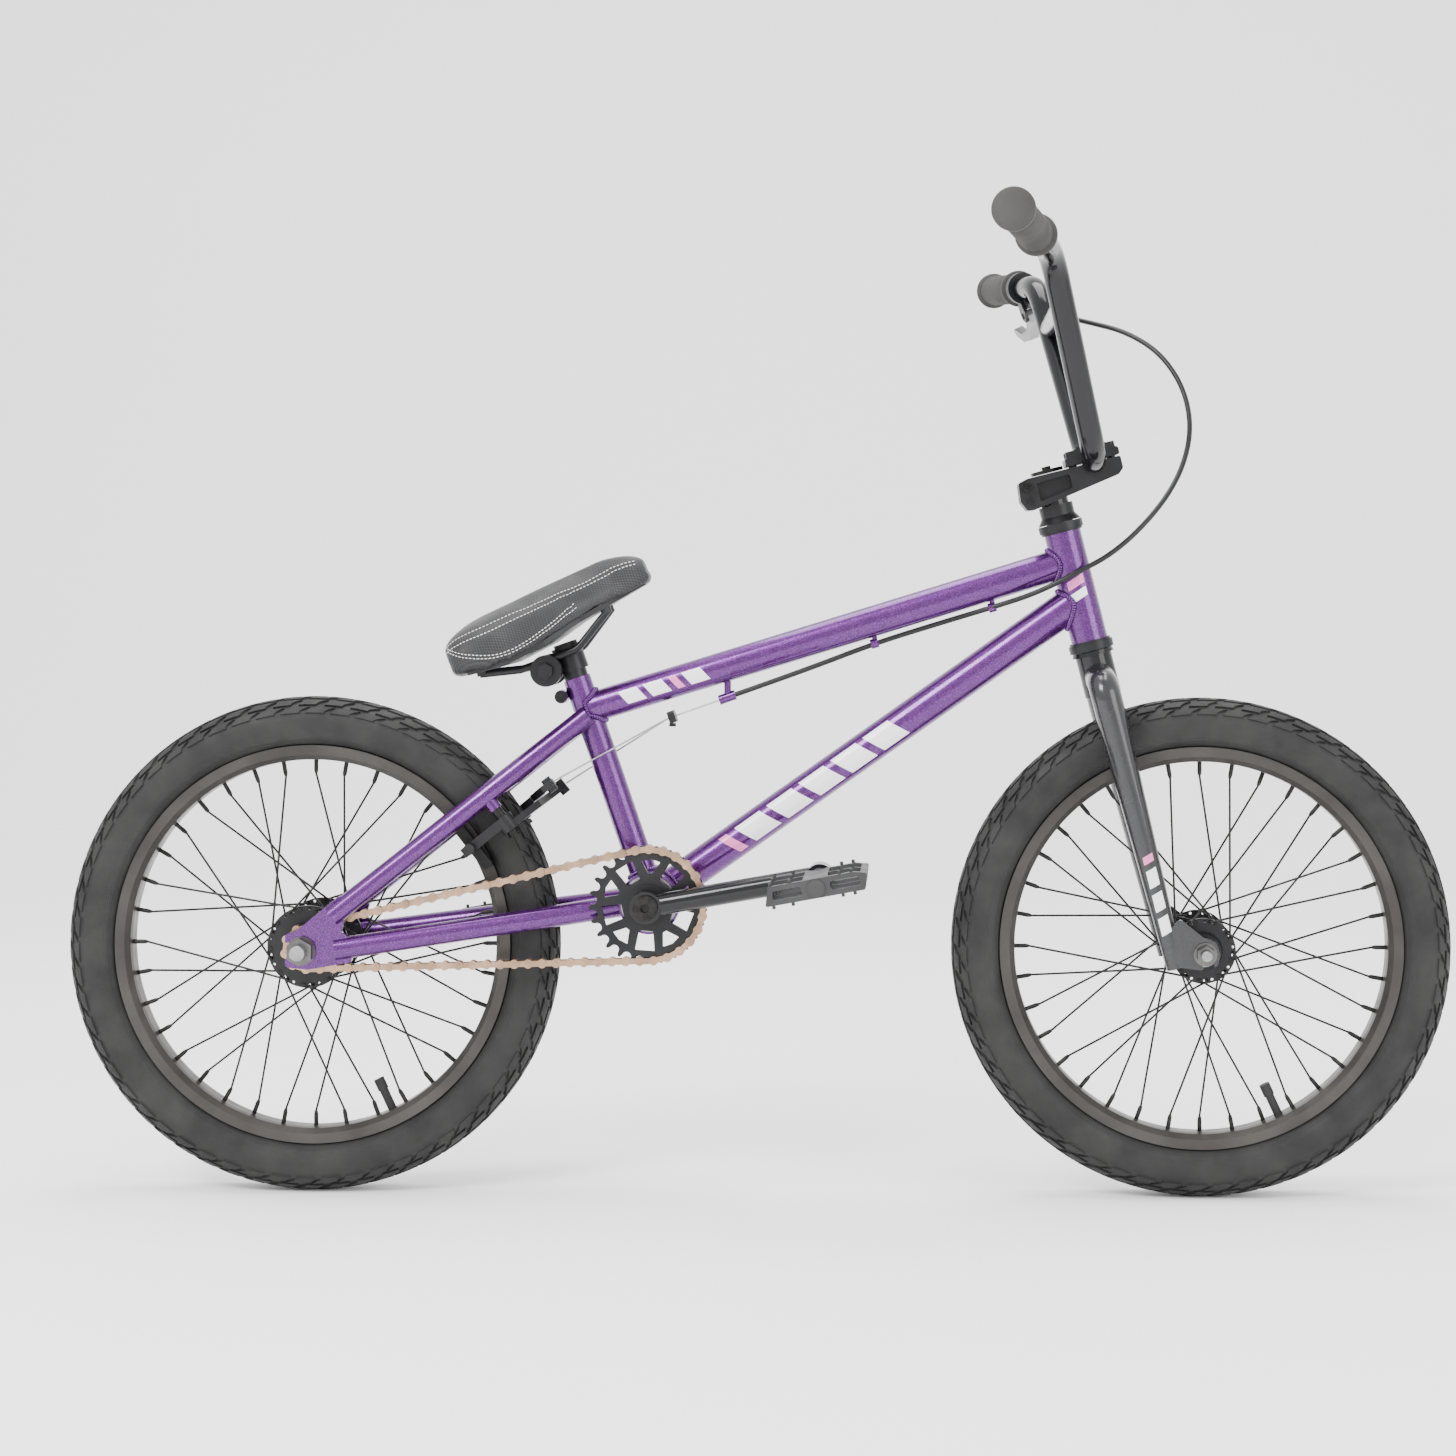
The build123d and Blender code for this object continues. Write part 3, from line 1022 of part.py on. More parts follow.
with BuildPart() as front_hub:
    add_hub_shell(FRONT, front_hub_ends, FRONT_AXLE_RADIUS, FRONT_FLANGE_RADIUS, front_flange_level, FLANGE_THICKNESS)
with BuildPart() as front_hub_bearings:
    add_hub_bearings(FRONT, front_hub_ends, FRONT_AXLE_RADIUS)
with BuildPart() as front_spokes:
    add_spokes(FRONT, FRONT_FLANGE_RADIUS, front_flange_level, FLANGE_THICKNESS)
with BuildPart() as front_rim:
    add_rim(FRONT)
with BuildPart() as front_tyre:
    add_tyre(FRONT)
with BuildPart() as front_inner_tube:
    add_inner_tube(FRONT)

with BuildPart() as rear_hub:
    add_hub_shell(REAR, rear_hub_ends, REAR_AXLE_RADIUS, REAR_FLANGE_RADIUS, rear_flange_level, FLANGE_THICKNESS)
with BuildPart() as rear_hub_bearings:
    add_hub_bearings(REAR, rear_hub_ends, REAR_AXLE_RADIUS)
with BuildPart() as rear_spokes:
    add_spokes(REAR, REAR_FLANGE_RADIUS, rear_flange_level, FLANGE_THICKNESS)
with BuildPart() as rear_rim:
    add_rim(REAR)
with BuildPart() as rear_tyre:
    add_tyre(REAR)
with BuildPart() as rear_inner_tube:
    add_inner_tube(REAR)

# ---------------------------------------------------------------- sprockets
TOOTH_HEIGHT = 3.2
SPROCKET_THICKNESS = 3.0


def pins_between(centre, near, far):
    """The chain's pins between two distances from a disc's centre."""
    pins = [chain_pin(number) for number in range(CHAIN_PITCHES)]
    return [pin for pin in pins if near**2 < (pin.X - centre.X)**2 + (pin.Z - centre.Z)**2 < far**2]


def turned_points(points, angle):
    """Flat points turned about the middle of a disc by an angle in degrees."""
    return [Vector(x, y).rotate(Axis.Z, angle) for x, y in points]


def add_toothed_disc(centre, teeth, first_pin, bore, flared):
    """Adds a toothed disc whose gaps seat the chain's rollers."""
    start = degrees(atan2((first_pin - centre).Z, (first_pin - centre).X))
    pitch = pitch_radius(teeth)
    seat = ROLLER_RADIUS + 0.25
    tip = pitch + TOOTH_HEIGHT
    flank = tip * sin(pi / teeth) - 0.7
    slope = (flank - seat) / TOOTH_HEIGHT
    disc_face = Plane(origin=centre + Y_AXIS * SPROCKET_THICKNESS / 2, x_dir=X_AXIS, z_dir=-Y_AXIS)
    with BuildSketch(disc_face) as disc:
        Circle(tip)
        with PolarLocations(pitch, teeth, start_angle=start):
            Circle(seat, mode=Mode.SUBTRACT)
        for number in range(teeth if flared else 0):
            wide = flank + slope
            flare = [(pitch, -seat + 0.1), (pitch, seat - 0.1), (tip + 1, wide), (tip + 1, -wide)]
            with BuildLine():
                Polyline(*turned_points(flare, start + number * 360 / teeth), close=True)
            make_face(mode=Mode.SUBTRACT)
        # Rollers that are just leaving the disc are cleared too.
        leaving = pins_between(centre, pitch + 0.05, tip + ROLLER_RADIUS)
        with Locations(*[(pin.X - centre.X, pin.Z - centre.Z) for pin in leaving]):
            Circle(seat, mode=Mode.SUBTRACT)
        Circle(bore, mode=Mode.SUBTRACT)
    extrude(to_extrude=disc.sketch, amount=SPROCKET_THICKNESS)


DRIVER_HUB_RADIUS = 13.6
with BuildPart() as driver:
    driver_mid = REAR - Y_AXIS * CHAIN_LINE
    first_on_driver = chain_pin(ceil(sprocket_wrap + run_pitches))
    add_toothed_disc(driver_mid, DRIVER_TEETH, first_on_driver, DRIVER_HUB_RADIUS - 2.0, flared=False)
    driver_in = REAR - Y_AXIS * (rear_hub_ends[0] + 0.5)
    driver_out = REAR - Y_AXIS * (REAR_DROPOUT_WIDTH / 2 - 6.4)
    add_rod(driver_in, driver_out, DRIVER_HUB_RADIUS, REAR_AXLE_RADIUS + RUNNING_FIT)

WINDOW_PAIRS = 5
FIRST_WINDOW = -94.0
WINDOW_INNER = 23.5
WINDOW_OUTER = 41.5
SPROCKET_HUB_RADIUS = 19.0
with BuildPart() as sprocket:
    add_toothed_disc(chain_centre_front, SPROCKET_TEETH, chain_pin(0), SPINDLE_RADIUS + LIGHT_FIT, flared=True)
    sprocket_face = Plane(origin=chain_centre_front + Y_AXIS * 5, x_dir=X_AXIS, z_dir=-Y_AXIS)
    with BuildSketch(sprocket_face) as windows:
        broad = [(WINDOW_INNER, -6.5), (WINDOW_INNER, 6.5), (WINDOW_OUTER, 9.0), (WINDOW_OUTER, -9.0)]
        narrow = [(WINDOW_INNER + 5, 1.8), (WINDOW_OUTER - 2, 8.6), (WINDOW_OUTER, 0), (WINDOW_OUTER - 2, -8.6)]
        narrow.append((WINDOW_INNER + 5, -1.8))
        for number in range(WINDOW_PAIRS):
            turn = FIRST_WINDOW + number * 360 / WINDOW_PAIRS
            for outline, further in ((broad, 0), (narrow, 180 / WINDOW_PAIRS)):
                with BuildLine():
                    Polyline(*turned_points(outline, turn + further), close=True)
                make_face()
        fillet(windows.vertices(), 0.7)
    extrude(to_extrude=windows.sketch, amount=10, mode=Mode.SUBTRACT)
    add_rod(chain_centre_front + Y_AXIS * 1.5, chain_centre_front - Y_AXIS * 3.4, SPROCKET_HUB_RADIUS,
            SPINDLE_RADIUS + LIGHT_FIT)

# ---------------------------------------------------------------- cranks
ARM_INNER = CHAIN_LINE + 3.6
ARM_BOSS_WIDTH = 22.0
PEDAL_BOSS_SHIFT = 12.0
PEDAL_BOSS_RADIUS = 12.5
crank_ahead = Vector(cos(radians(CRANK_ANGLE)), 0, sin(radians(CRANK_ANGLE)))
with BuildPart() as crank_spindle:
    spindle_half = ARM_INNER + ARM_BOSS_WIDTH - 1.0
    add_rod(BRACKET - Y_AXIS * spindle_half, BRACKET + Y_AXIS * spindle_half, SPINDLE_RADIUS, 4.6)


def pedal_centre(side):
    """The pedal boss's middle on one crank arm. The right arm points forward."""
    way = crank_ahead if side < 0 else crank_ahead * -1
    return BRACKET + way * CRANK_LENGTH + Y_AXIS * side * (ARM_INNER + ARM_BOSS_WIDTH / 2 + PEDAL_BOSS_SHIFT)


def add_crank_arm(side):
    """Adds a tubular crank arm with its spindle boss, pedal boss and pinch slot."""
    hub = BRACKET + Y_AXIS * side * (ARM_INNER + ARM_BOSS_WIDTH / 2)
    pedal = pedal_centre(side)
    add_rod(hub, pedal, CRANK_TUBE_RADIUS)
    add_rod(hub - Y_AXIS * ARM_BOSS_WIDTH / 2, hub + Y_AXIS * ARM_BOSS_WIDTH / 2, CRANK_BOSS_RADIUS)
    add_rod(pedal - Y_AXIS * 11, pedal + Y_AXIS * 11, PEDAL_BOSS_RADIUS)
    add_rod(hub - Y_AXIS * 20, hub + Y_AXIS * 20, SPINDLE_RADIUS + LIGHT_FIT, mode=Mode.SUBTRACT)
    add_rod(pedal - Y_AXIS * 20, pedal + Y_AXIS * 20, 7.2, mode=Mode.SUBTRACT)


with BuildPart() as crank_arm_right:
    add_crank_arm(-1)
with BuildPart() as crank_arm_left:
    add_crank_arm(1)

with BuildPart() as crank_hardware:
    for side in (-1, 1):
        bolt_out = BRACKET + Y_AXIS * side * (spindle_half + 5.0)
        bolt_in = BRACKET + Y_AXIS * side * (spindle_half - 16.0)
        add_rod(bolt_in, bolt_out, 4.5)
        add_rod(BRACKET + Y_AXIS * side * (spindle_half + 1.1), bolt_out, SPINDLE_RADIUS + 2.0)
        add_rod(bolt_out - Y_AXIS * side * 3.5, bolt_out, 4.0, mode=Mode.SUBTRACT)
        bearing_face = BRACKET + Y_AXIS * side * (shell_half + 1.8)
        spacer_end = CHAIN_LINE - 1.6 if side < 0 else ARM_INNER - 0.1
        add_rod(bearing_face, BRACKET + Y_AXIS * side * spacer_end, SPINDLE_RADIUS + 3.5, SPINDLE_RADIUS + LIGHT_FIT)

# ---------------------------------------------------------------- pedals
PEDAL_START = ARM_INNER + ARM_BOSS_WIDTH / 2 + PEDAL_BOSS_SHIFT + 13.5
with BuildPart() as pedal_axles:
    for side in (-1, 1):
        level = pedal_centre(side)
        face = level + Y_AXIS * side * 11.0
        tip = Vector(level.X, side * (PEDAL_START + PEDAL_WIDTH - 8.0), level.Z)
        add_rod(level - Y_AXIS * side * 10.0, face, 7.15)
        add_rod(face, face + Y_AXIS * side * 2.0, 9.0)
        add_rod(face + Y_AXIS * side * 2.0, tip, PEDAL_AXLE_RADIUS)


def add_pedal(side):
    """Adds a moulded cage pedal round its axle, with rows of grip pins."""
    level = pedal_centre(side)
    start = Vector(level.X, side * PEDAL_START, level.Z)
    body_plane = Plane(origin=start, x_dir=crank_ahead, z_dir=Y_AXIS * side)
    length, high = PEDAL_LENGTH / 2, PEDAL_HEIGHT / 2
    with BuildSketch(body_plane) as outline:
        with BuildLine():
            Polyline((-length, -high + 1), (-length + 5, high), (length - 12, high), (length, high - 3),
                     (length - 4, -high), (-length + 2, -high), close=True)
        make_face()
        fillet(outline.vertices(), 1.5)
    extrude(to_extrude=outline.sketch, amount=PEDAL_WIDTH)
    # Four openings through the cage leave the axle barrel, a cross rib and the outer rails.
    across = crank_ahead.cross(Y_AXIS).normalized()
    barrel, rail, rib = 11.0, 6.0, 3.0
    window_length = length - barrel - rail
    window_width = (PEDAL_WIDTH - 2 * rail - rib) / 2
    for fore in (-1, 1):
        for row in (-1, 1):
            middle = start + crank_ahead * fore * (barrel + window_length / 2)
            middle += Y_AXIS * side * (PEDAL_WIDTH / 2 + row * (window_width + rib) / 2)
            with BuildSketch(Plane(origin=middle - across * 20, x_dir=crank_ahead, z_dir=across)) as window:
                RectangleRounded(window_length, window_width, 3.0)
            extrude(to_extrude=window.sketch, amount=40, mode=Mode.SUBTRACT)
    # Side windows through the end plates, either side of the barrel.
    for fore in (-1, 1):
        middle = start + crank_ahead * fore * (barrel + window_length / 2) - Y_AXIS * side
        with BuildSketch(Plane(origin=middle, x_dir=crank_ahead, z_dir=Y_AXIS * side)) as side_window:
            RectangleRounded(window_length - 3.0, PEDAL_HEIGHT - 9.0, 2.0)
        extrude(to_extrude=side_window.sketch, amount=PEDAL_WIDTH + 2, mode=Mode.SUBTRACT)
    add_rod(start - Y_AXIS * side, start + Y_AXIS * side * (PEDAL_WIDTH - 5.0), PEDAL_AXLE_RADIUS + RUNNING_FIT,
            mode=Mode.SUBTRACT)
    add_rod(start + Y_AXIS * side * (PEDAL_WIDTH - 0.5), start + Y_AXIS * side * (PEDAL_WIDTH + 1.5), 7.6)
    pin_rows = (3.5, PEDAL_WIDTH / 2, PEDAL_WIDTH - 3.5)
    for fore in (-length + 7.0, -length + 24.0, length - 24.0, length - 13.5):
        for row in pin_rows:
            for hand in (-1, 1):
                foot = start + crank_ahead * fore + Y_AXIS * side * row + across * hand * (high - 1.0)
                add_rod(foot, foot + across * hand * 4.0, 1.5)


with BuildPart() as pedal_right:
    add_pedal(-1)
with BuildPart() as pedal_left:
    add_pedal(1)

# ---------------------------------------------------------------- U-brake arms, pads, yoke and wires
ARM_PLATE = 6.6
ARM_BARREL_LOW = 25.0
ARM_BARREL_HIGH = 39.6
ARM_DEPTHS = {1: ARM_BARREL_LOW, -1: ARM_BARREL_LOW + 7.6}
PAD_DROP = -40.5
ANCHOR_RISE = 50.0
ANCHOR_OVER = 26.0
PAD_GAP = 2.2


def brake_plane(side, depth):
    """A plane across a brake pivot: x points inward over the wheel, y up the seat stay."""
    origin = pivot_at(side, depth)
    return Plane(origin=origin, x_dir=Y_AXIS * -side, z_dir=(Y_AXIS * -side).cross(seatstay_up))


def add_brake_arm(side):
    """Adds one U-brake arm: a pad leg, a pivot barrel and a leg that crosses over the tyre."""
    depth_way = (Y_AXIS * -side).cross(seatstay_up).dot(boss_ahead)
    spread = SEATSTAY_BEND_SPREAD + 0.5
    add_rod(pivot_at(side, ARM_BARREL_LOW), pivot_at(side, ARM_BARREL_HIGH), 8.6)
    crossing = ARM_DEPTHS[side]
    with BuildSketch(brake_plane(side, crossing)) as upper:
        with BuildLine():
            Polyline((-6, 0), (-3, 18), (12, 33), (spread + 8, 40), (spread + ANCHOR_OVER - 6, ANCHOR_RISE + 5),
                     (spread + ANCHOR_OVER + 6, ANCHOR_RISE + 3), (spread + ANCHOR_OVER + 4, ANCHOR_RISE - 8),
                     (spread + 10, 27), (16, 20), (7, 8), (6, 0), close=True)
        make_face()
        fillet(upper.vertices(), 1.8)
    extrude(to_extrude=upper.sketch, amount=ARM_PLATE * depth_way)
    with BuildSketch(brake_plane(side, ARM_BARREL_LOW)) as lower:
        with BuildLine():
            Polyline((-7, 0), (-4, PAD_DROP - 8), (3.5, PAD_DROP - 8), (5, PAD_DROP + 12), (8, 0), close=True)
        make_face()
        fillet(lower.vertices(), 1.5)
    extrude(to_extrude=lower.sketch, amount=9.0 * depth_way)
    pad_bolt = pivot_at(side, ARM_BARREL_LOW + 4.5) + seatstay_up * PAD_DROP
    add_rod(pivot_at(side, 0), pivot_at(side, 60), PIVOT_SLEEVE_RADIUS + RUNNING_FIT, mode=Mode.SUBTRACT)
    add_rod(pad_bolt - Y_AXIS * 30, pad_bolt + Y_AXIS * 30, 3.05, mode=Mode.SUBTRACT)
    anchor = pivot_at(side, crossing) + seatstay_up * ANCHOR_RISE - Y_AXIS * side * (spread + ANCHOR_OVER)
    add_rod(anchor - boss_ahead * 3.5, anchor + boss_ahead * (ARM_PLATE + 4.0), 4.5)


def anchor_point(side):
    """The wire's anchor on the arm that pivots on the given side."""
    spread = SEATSTAY_BEND_SPREAD + 0.5
    base = pivot_at(side, ARM_DEPTHS[side] + ARM_PLATE / 2)
    return base + seatstay_up * (ANCHOR_RISE + 5.5) - Y_AXIS * side * (spread + ANCHOR_OVER)


def add_brake_pad(side):
    """Adds a brake pad with its holder, bolt and nut, beside the rim."""
    spread = SEATSTAY_BEND_SPREAD + 0.5
    pad_axis = pivot_at(side, ARM_BARREL_LOW + 4.5) + seatstay_up * PAD_DROP
    on_middle = Vector(pad_axis.X, 0, pad_axis.Z)
    face = on_middle + Y_AXIS * side * (RIM_WIDTH / 2 + PAD_GAP)
    around_rim = boss_ahead
    with BuildSketch(Plane(origin=face, x_dir=around_rim, z_dir=Y_AXIS * side)) as block:
        RectangleRounded(48.0, 9.5, 3.0)
    extrude(to_extrude=block.sketch, amount=9.0)
    back = face + Y_AXIS * side * 9.0
    arm_inner = on_middle + Y_AXIS * side * (spread - 5.2)
    arm_outer = on_middle + Y_AXIS * side * (spread + 6.5)
    add_rod(back, arm_inner, 4.6)
    add_rod(back, arm_outer, 3.0)
    add_rod(arm_outer, arm_outer + Y_AXIS * side * 4.0, 5.0)


with BuildPart() as brake_arm_right:
    add_brake_arm(-1)
with BuildPart() as brake_arm_left:
    add_brake_arm(1)
with BuildPart() as brake_pad_right:
    add_brake_pad(-1)
with BuildPart() as brake_pad_left:
    add_brake_pad(1)

YOKE_BACK = 45.0
YOKE_SIZE = 11.0
wire_way = stop_way
yoke_centre = stop_back - wire_way * YOKE_BACK
with BuildPart() as brake_yoke:
    with BuildSketch(Plane(origin=yoke_centre + wire_way * 2.0, x_dir=Y_AXIS, z_dir=wire_way * -1)) as yoke_outline:
        RectangleRounded(YOKE_SIZE + 4, YOKE_SIZE, 2.0)
    extrude(to_extrude=yoke_outline.sketch, amount=6.5)
    add_rod(yoke_centre - Z_AXIS * 6 - wire_way, yoke_centre - Z_AXIS * 9 - wire_way, 3.2)

WIRE_RADIUS = 0.8
with BuildPart() as brake_wires:
    add_rod(yoke_centre + wire_way * 2.2, stop_mouth - wire_way * 0.5, WIRE_RADIUS)
    for side in (-1, 1):
        hook = yoke_centre - wire_way * 4.8 - Y_AXIS * side * YOKE_SIZE / 2
        add_rod(hook, anchor_point(side), WIRE_RADIUS)

# ---------------------------------------------------------------- seat post and seat
with BuildPart() as seat_post:
    add_rod(on_seat_tube(SEAT_POST_BOTTOM), on_seat_tube(SEAT_POST_TOP), SEAT_POST_RADIUS, SEAT_POST_RADIUS - 2.2)

seat_ahead = Vector(cos(radians(SEAT_TILT)), 0, sin(radians(SEAT_TILT)))
seat_normal = Vector(-sin(radians(SEAT_TILT)), 0, cos(radians(SEAT_TILT)))
CLAMP_BOLT_BELOW_TOP = 19.0
CLAMP_BOLT_BACK = 21.5
CLAMP_DISC_RADIUS = 14.5
clamp_bolt = on_seat_tube(SEAT_POST_TOP - CLAMP_BOLT_BELOW_TOP, CLAMP_BOLT_BACK)
RAIL_ABOVE_BOLT = 9.0
SEAT_REAR_BEHIND_CLAMP = 84.5
SEAT_REAR_ABOVE_CLAMP = 51.0
seat_rear = clamp_bolt - seat_ahead * SEAT_REAR_BEHIND_CLAMP + seat_normal * SEAT_REAR_ABOVE_CLAMP
clamp_half = SEAT_RAIL_SPREAD - SEAT_RAIL_RADIUS - 1.5


def in_seat(ahead, above, side=0.0):
    """A point in the seat's own frame, measured from the middle of its rear end."""
    return seat_rear + seat_ahead * ahead + seat_normal * above + Y_AXIS * side


with BuildPart() as seat_rail_clamp:
    add_rod(clamp_bolt - Y_AXIS * clamp_half, clamp_bolt + Y_AXIS * clamp_half, CLAMP_DISC_RADIUS - 2.0)
    band_low = on_seat_tube(SEAT_POST_TOP - CLAMP_BOLT_BELOW_TOP - 8)
    band_high = on_seat_tube(SEAT_POST_TOP - CLAMP_BOLT_BELOW_TOP + 16)
    add_rod(band_low, band_high, SEAT_POST_RADIUS + 3.0)
    add_rod(band_low - seat_up * 5, band_high + seat_up * 5, SEAT_POST_RADIUS + LIGHT_FIT, mode=Mode.SUBTRACT)
    add_rod(clamp_bolt - Y_AXIS * 40, clamp_bolt + Y_AXIS * 40, 4.02, mode=Mode.SUBTRACT)
    rail_room = SEAT_RAIL_SPREAD + 6.5
    add_rod(clamp_bolt - Y_AXIS * (rail_room + 5), clamp_bolt + Y_AXIS * (rail_room + 5), 4.0)
    for side in (-1, 1):
        add_hex(clamp_bolt + Y_AXIS * side * (rail_room + 0.8), clamp_bolt + Y_AXIS * side * (rail_room + 6.0), 13.0)

RAIL_LEVEL = RAIL_ABOVE_BOLT - SEAT_REAR_ABOVE_CLAMP
with BuildPart() as seat_rails:
    for side in (-1, 1):
        spread = side * SEAT_RAIL_SPREAD
        add_pipe(
            [
                in_seat(26, RAIL_LEVEL + 9, spread),
                in_seat(62, RAIL_LEVEL, spread),
                in_seat(118, RAIL_LEVEL, spread),
                in_seat(156, RAIL_LEVEL + 24, side * 12.0),
            ],
            16.0,
            SEAT_RAIL_RADIUS,
        )
        # A round serrated cheek grips each rail beside the clamp's middle.
        cheek_in = clamp_bolt + Y_AXIS * side * (clamp_half + 0.4)
        add_rod(cheek_in, clamp_bolt + Y_AXIS * side * (rail_room + 0.3), CLAMP_DISC_RADIUS)
        add_rod(cheek_in - Y_AXIS * side, clamp_bolt + Y_AXIS * side * (rail_room + 1), 4.0 + RUNNING_FIT,
                mode=Mode.SUBTRACT)

SEAT_SECTIONS = (
    # distance from the rear, top, lower edge, width
    (2.0, 2.0, -28.0, 88.0),
    (20.0, 10.0, -35.0, 118.0),
    (55.0, 13.5, -38.0, 128.0),
    (95.0, 17.5, -33.0, 108.0),
    (130.0, 21.0, -24.0, 70.0),
    (168.0, 24.5, -17.0, 46.0),
    (196.0, 23.0, -12.0, 38.0),
    (SEAT_LENGTH - 3.0, 16.0, -4.0, 30.0),
)


def seat_section(ahead, top, low, width, inset):
    """One rounded cross-section of the seat, set in from the cover's outside."""
    plane = Plane(origin=in_seat(ahead, (top + low) / 2), x_dir=Y_AXIS, z_dir=seat_ahead)
    high = top - low - 2 * inset
    wide = width - 2 * inset
    with BuildSketch(plane) as section:
        RectangleRounded(wide, high, min(high, wide) * 0.42)
    return section.sketch


with BuildPart() as seat_cover:
    loft(sections=[seat_section(*section, 0.0) for section in SEAT_SECTIONS])
    # The underside is hollowed for the base.
    for section, following in zip(SEAT_SECTIONS[1:-2], SEAT_SECTIONS[2:-1]):
        lower = [row[:1] + (row[2] + 9.0, row[2] - 30.0, row[3] - 18.0) for row in (section, following)]
        planes = [Plane(origin=in_seat(row[0], row[1]), x_dir=Y_AXIS, z_dir=seat_ahead) for row in lower]
        faces = []
        for row, plane in zip(lower, planes):
            with BuildSketch(plane) as hollow:
                with Locations((0, 15 if plane.y_dir.Z < 0 else -15)):
                    Rectangle(row[3], 30)
            faces.append(hollow.sketch)
        loft(sections=faces, mode=Mode.SUBTRACT)

with BuildPart() as seat_base:
    for section, following in zip(SEAT_SECTIONS[1:-2], SEAT_SECTIONS[2:-1]):
        faces = []
        for ahead, _, low, width in (section, following):
            plane = Plane(origin=in_seat(ahead, low + 9.0), x_dir=Y_AXIS, z_dir=seat_ahead)
            with BuildSketch(plane) as layer:
                with Locations((0, 2.6 if plane.y_dir.Z < 0 else -2.6)):
                    Rectangle(width - 18.0 - 2 * SOFT_GAP, 4.6)
            faces.append(layer.sketch)
        loft(sections=faces)
    # Sockets under the base hold the rail ends.
    for side in (-1, 1):
        for ahead, above, spread in ((28, RAIL_LEVEL + 8.4, SEAT_RAIL_SPREAD), (154, RAIL_LEVEL + 22.6, 12.0)):
            end = in_seat(ahead, above, side * spread)
            add_rod(end + seat_normal * 6.5, end - seat_normal * 1, 5.0)
        add_pipe(
            [
                in_seat(26, RAIL_LEVEL + 9, side * SEAT_RAIL_SPREAD),
                in_seat(62, RAIL_LEVEL, side * SEAT_RAIL_SPREAD),
                in_seat(118, RAIL_LEVEL, side * SEAT_RAIL_SPREAD),
                in_seat(156, RAIL_LEVEL + 24, side * 12.0),
            ],
            16.0,
            SEAT_RAIL_RADIUS + LIGHT_FIT,
            mode=Mode.SUBTRACT,
        )

# ---------------------------------------------------------------- the finished pieces
head_tube.part.label = "head_tube"
export_step(head_tube.part, "parts/head_tube.step")
top_tube.part.label = "top_tube"
export_step(top_tube.part, "parts/top_tube.step")
down_tube.part.label = "down_tube"
export_step(down_tube.part, "parts/down_tube.step")
seat_tube.part.label = "seat_tube"
export_step(seat_tube.part, "parts/seat_tube.step")
bottom_bracket_shell.part.label = "bottom_bracket_shell"
export_step(bottom_bracket_shell.part, "parts/bottom_bracket_shell.step")
chainstays.part.label = "chainstays"
export_step(chainstays.part, "parts/chainstays.step")
seatstays.part.label = "seatstays"
export_step(seatstays.part, "parts/seatstays.step")
rear_dropouts.part.label = "rear_dropouts"
export_step(rear_dropouts.part, "parts/rear_dropouts.step")
frame_fittings.part.label = "frame_fittings"
export_step(frame_fittings.part, "parts/frame_fittings.step")
headset_cups.part.label = "headset_cups"
export_step(headset_cups.part, "parts/headset_cups.step")
bottom_bracket_bearings.part.label = "bottom_bracket_bearings"
export_step(bottom_bracket_bearings.part, "parts/bottom_bracket_bearings.step")
rear_axle.part.label = "rear_axle"
export_step(rear_axle.part, "parts/rear_axle.step")
rear_axle_nuts.part.label = "rear_axle_nuts"
export_step(rear_axle_nuts.part, "parts/rear_axle_nuts.step")
frame_bolts.part.label = "frame_bolts"
export_step(frame_bolts.part, "parts/frame_bolts.step")
chain.part.label = "chain"
export_step(chain.part, "parts/chain.step")
brake_cable_housing.part.label = "brake_cable_housing"
export_step(brake_cable_housing.part, "parts/brake_cable_housing.step")
fork_steerer.part.label = "fork_steerer"
export_step(fork_steerer.part, "parts/fork_steerer.step")
fork_legs.part.label = "fork_legs"
export_step(fork_legs.part, "parts/fork_legs.step")
headset_spacers.part.label = "headset_spacers"
export_step(headset_spacers.part, "parts/headset_spacers.step")
stem_body.part.label = "stem_body"
export_step(stem_body.part, "parts/stem_body.step")
stem_cap.part.label = "stem_cap"
export_step(stem_cap.part, "parts/stem_cap.step")
stem_bolts.part.label = "stem_bolts"
export_step(stem_bolts.part, "parts/stem_bolts.step")
handlebar.part.label = "handlebar"
export_step(handlebar.part, "parts/handlebar.step")
grips.part.label = "grips"
export_step(grips.part, "parts/grips.step")
lever_bracket.part.label = "lever_bracket"
export_step(lever_bracket.part, "parts/lever_bracket.step")
front_axle.part.label = "front_axle"
export_step(front_axle.part, "parts/front_axle.step")
front_axle_nuts.part.label = "front_axle_nuts"
export_step(front_axle_nuts.part, "parts/front_axle_nuts.step")
front_hub.part.label = "front_hub"
export_step(front_hub.part, "parts/front_hub.step")
front_hub_bearings.part.label = "front_hub_bearings"
export_step(front_hub_bearings.part, "parts/front_hub_bearings.step")
front_spokes.part.label = "front_spokes"
export_step(front_spokes.part, "parts/front_spokes.step")
front_rim.part.label = "front_rim"
export_step(front_rim.part, "parts/front_rim.step")
front_tyre.part.label = "front_tyre"
export_step(front_tyre.part, "parts/front_tyre.step")
front_inner_tube.part.label = "front_inner_tube"
export_step(front_inner_tube.part, "parts/front_inner_tube.step")
rear_hub.part.label = "rear_hub"
export_step(rear_hub.part, "parts/rear_hub.step")
rear_hub_bearings.part.label = "rear_hub_bearings"
export_step(rear_hub_bearings.part, "parts/rear_hub_bearings.step")
rear_spokes.part.label = "rear_spokes"
export_step(rear_spokes.part, "parts/rear_spokes.step")
rear_rim.part.label = "rear_rim"
export_step(rear_rim.part, "parts/rear_rim.step")
rear_tyre.part.label = "rear_tyre"
export_step(rear_tyre.part, "parts/rear_tyre.step")
rear_inner_tube.part.label = "rear_inner_tube"
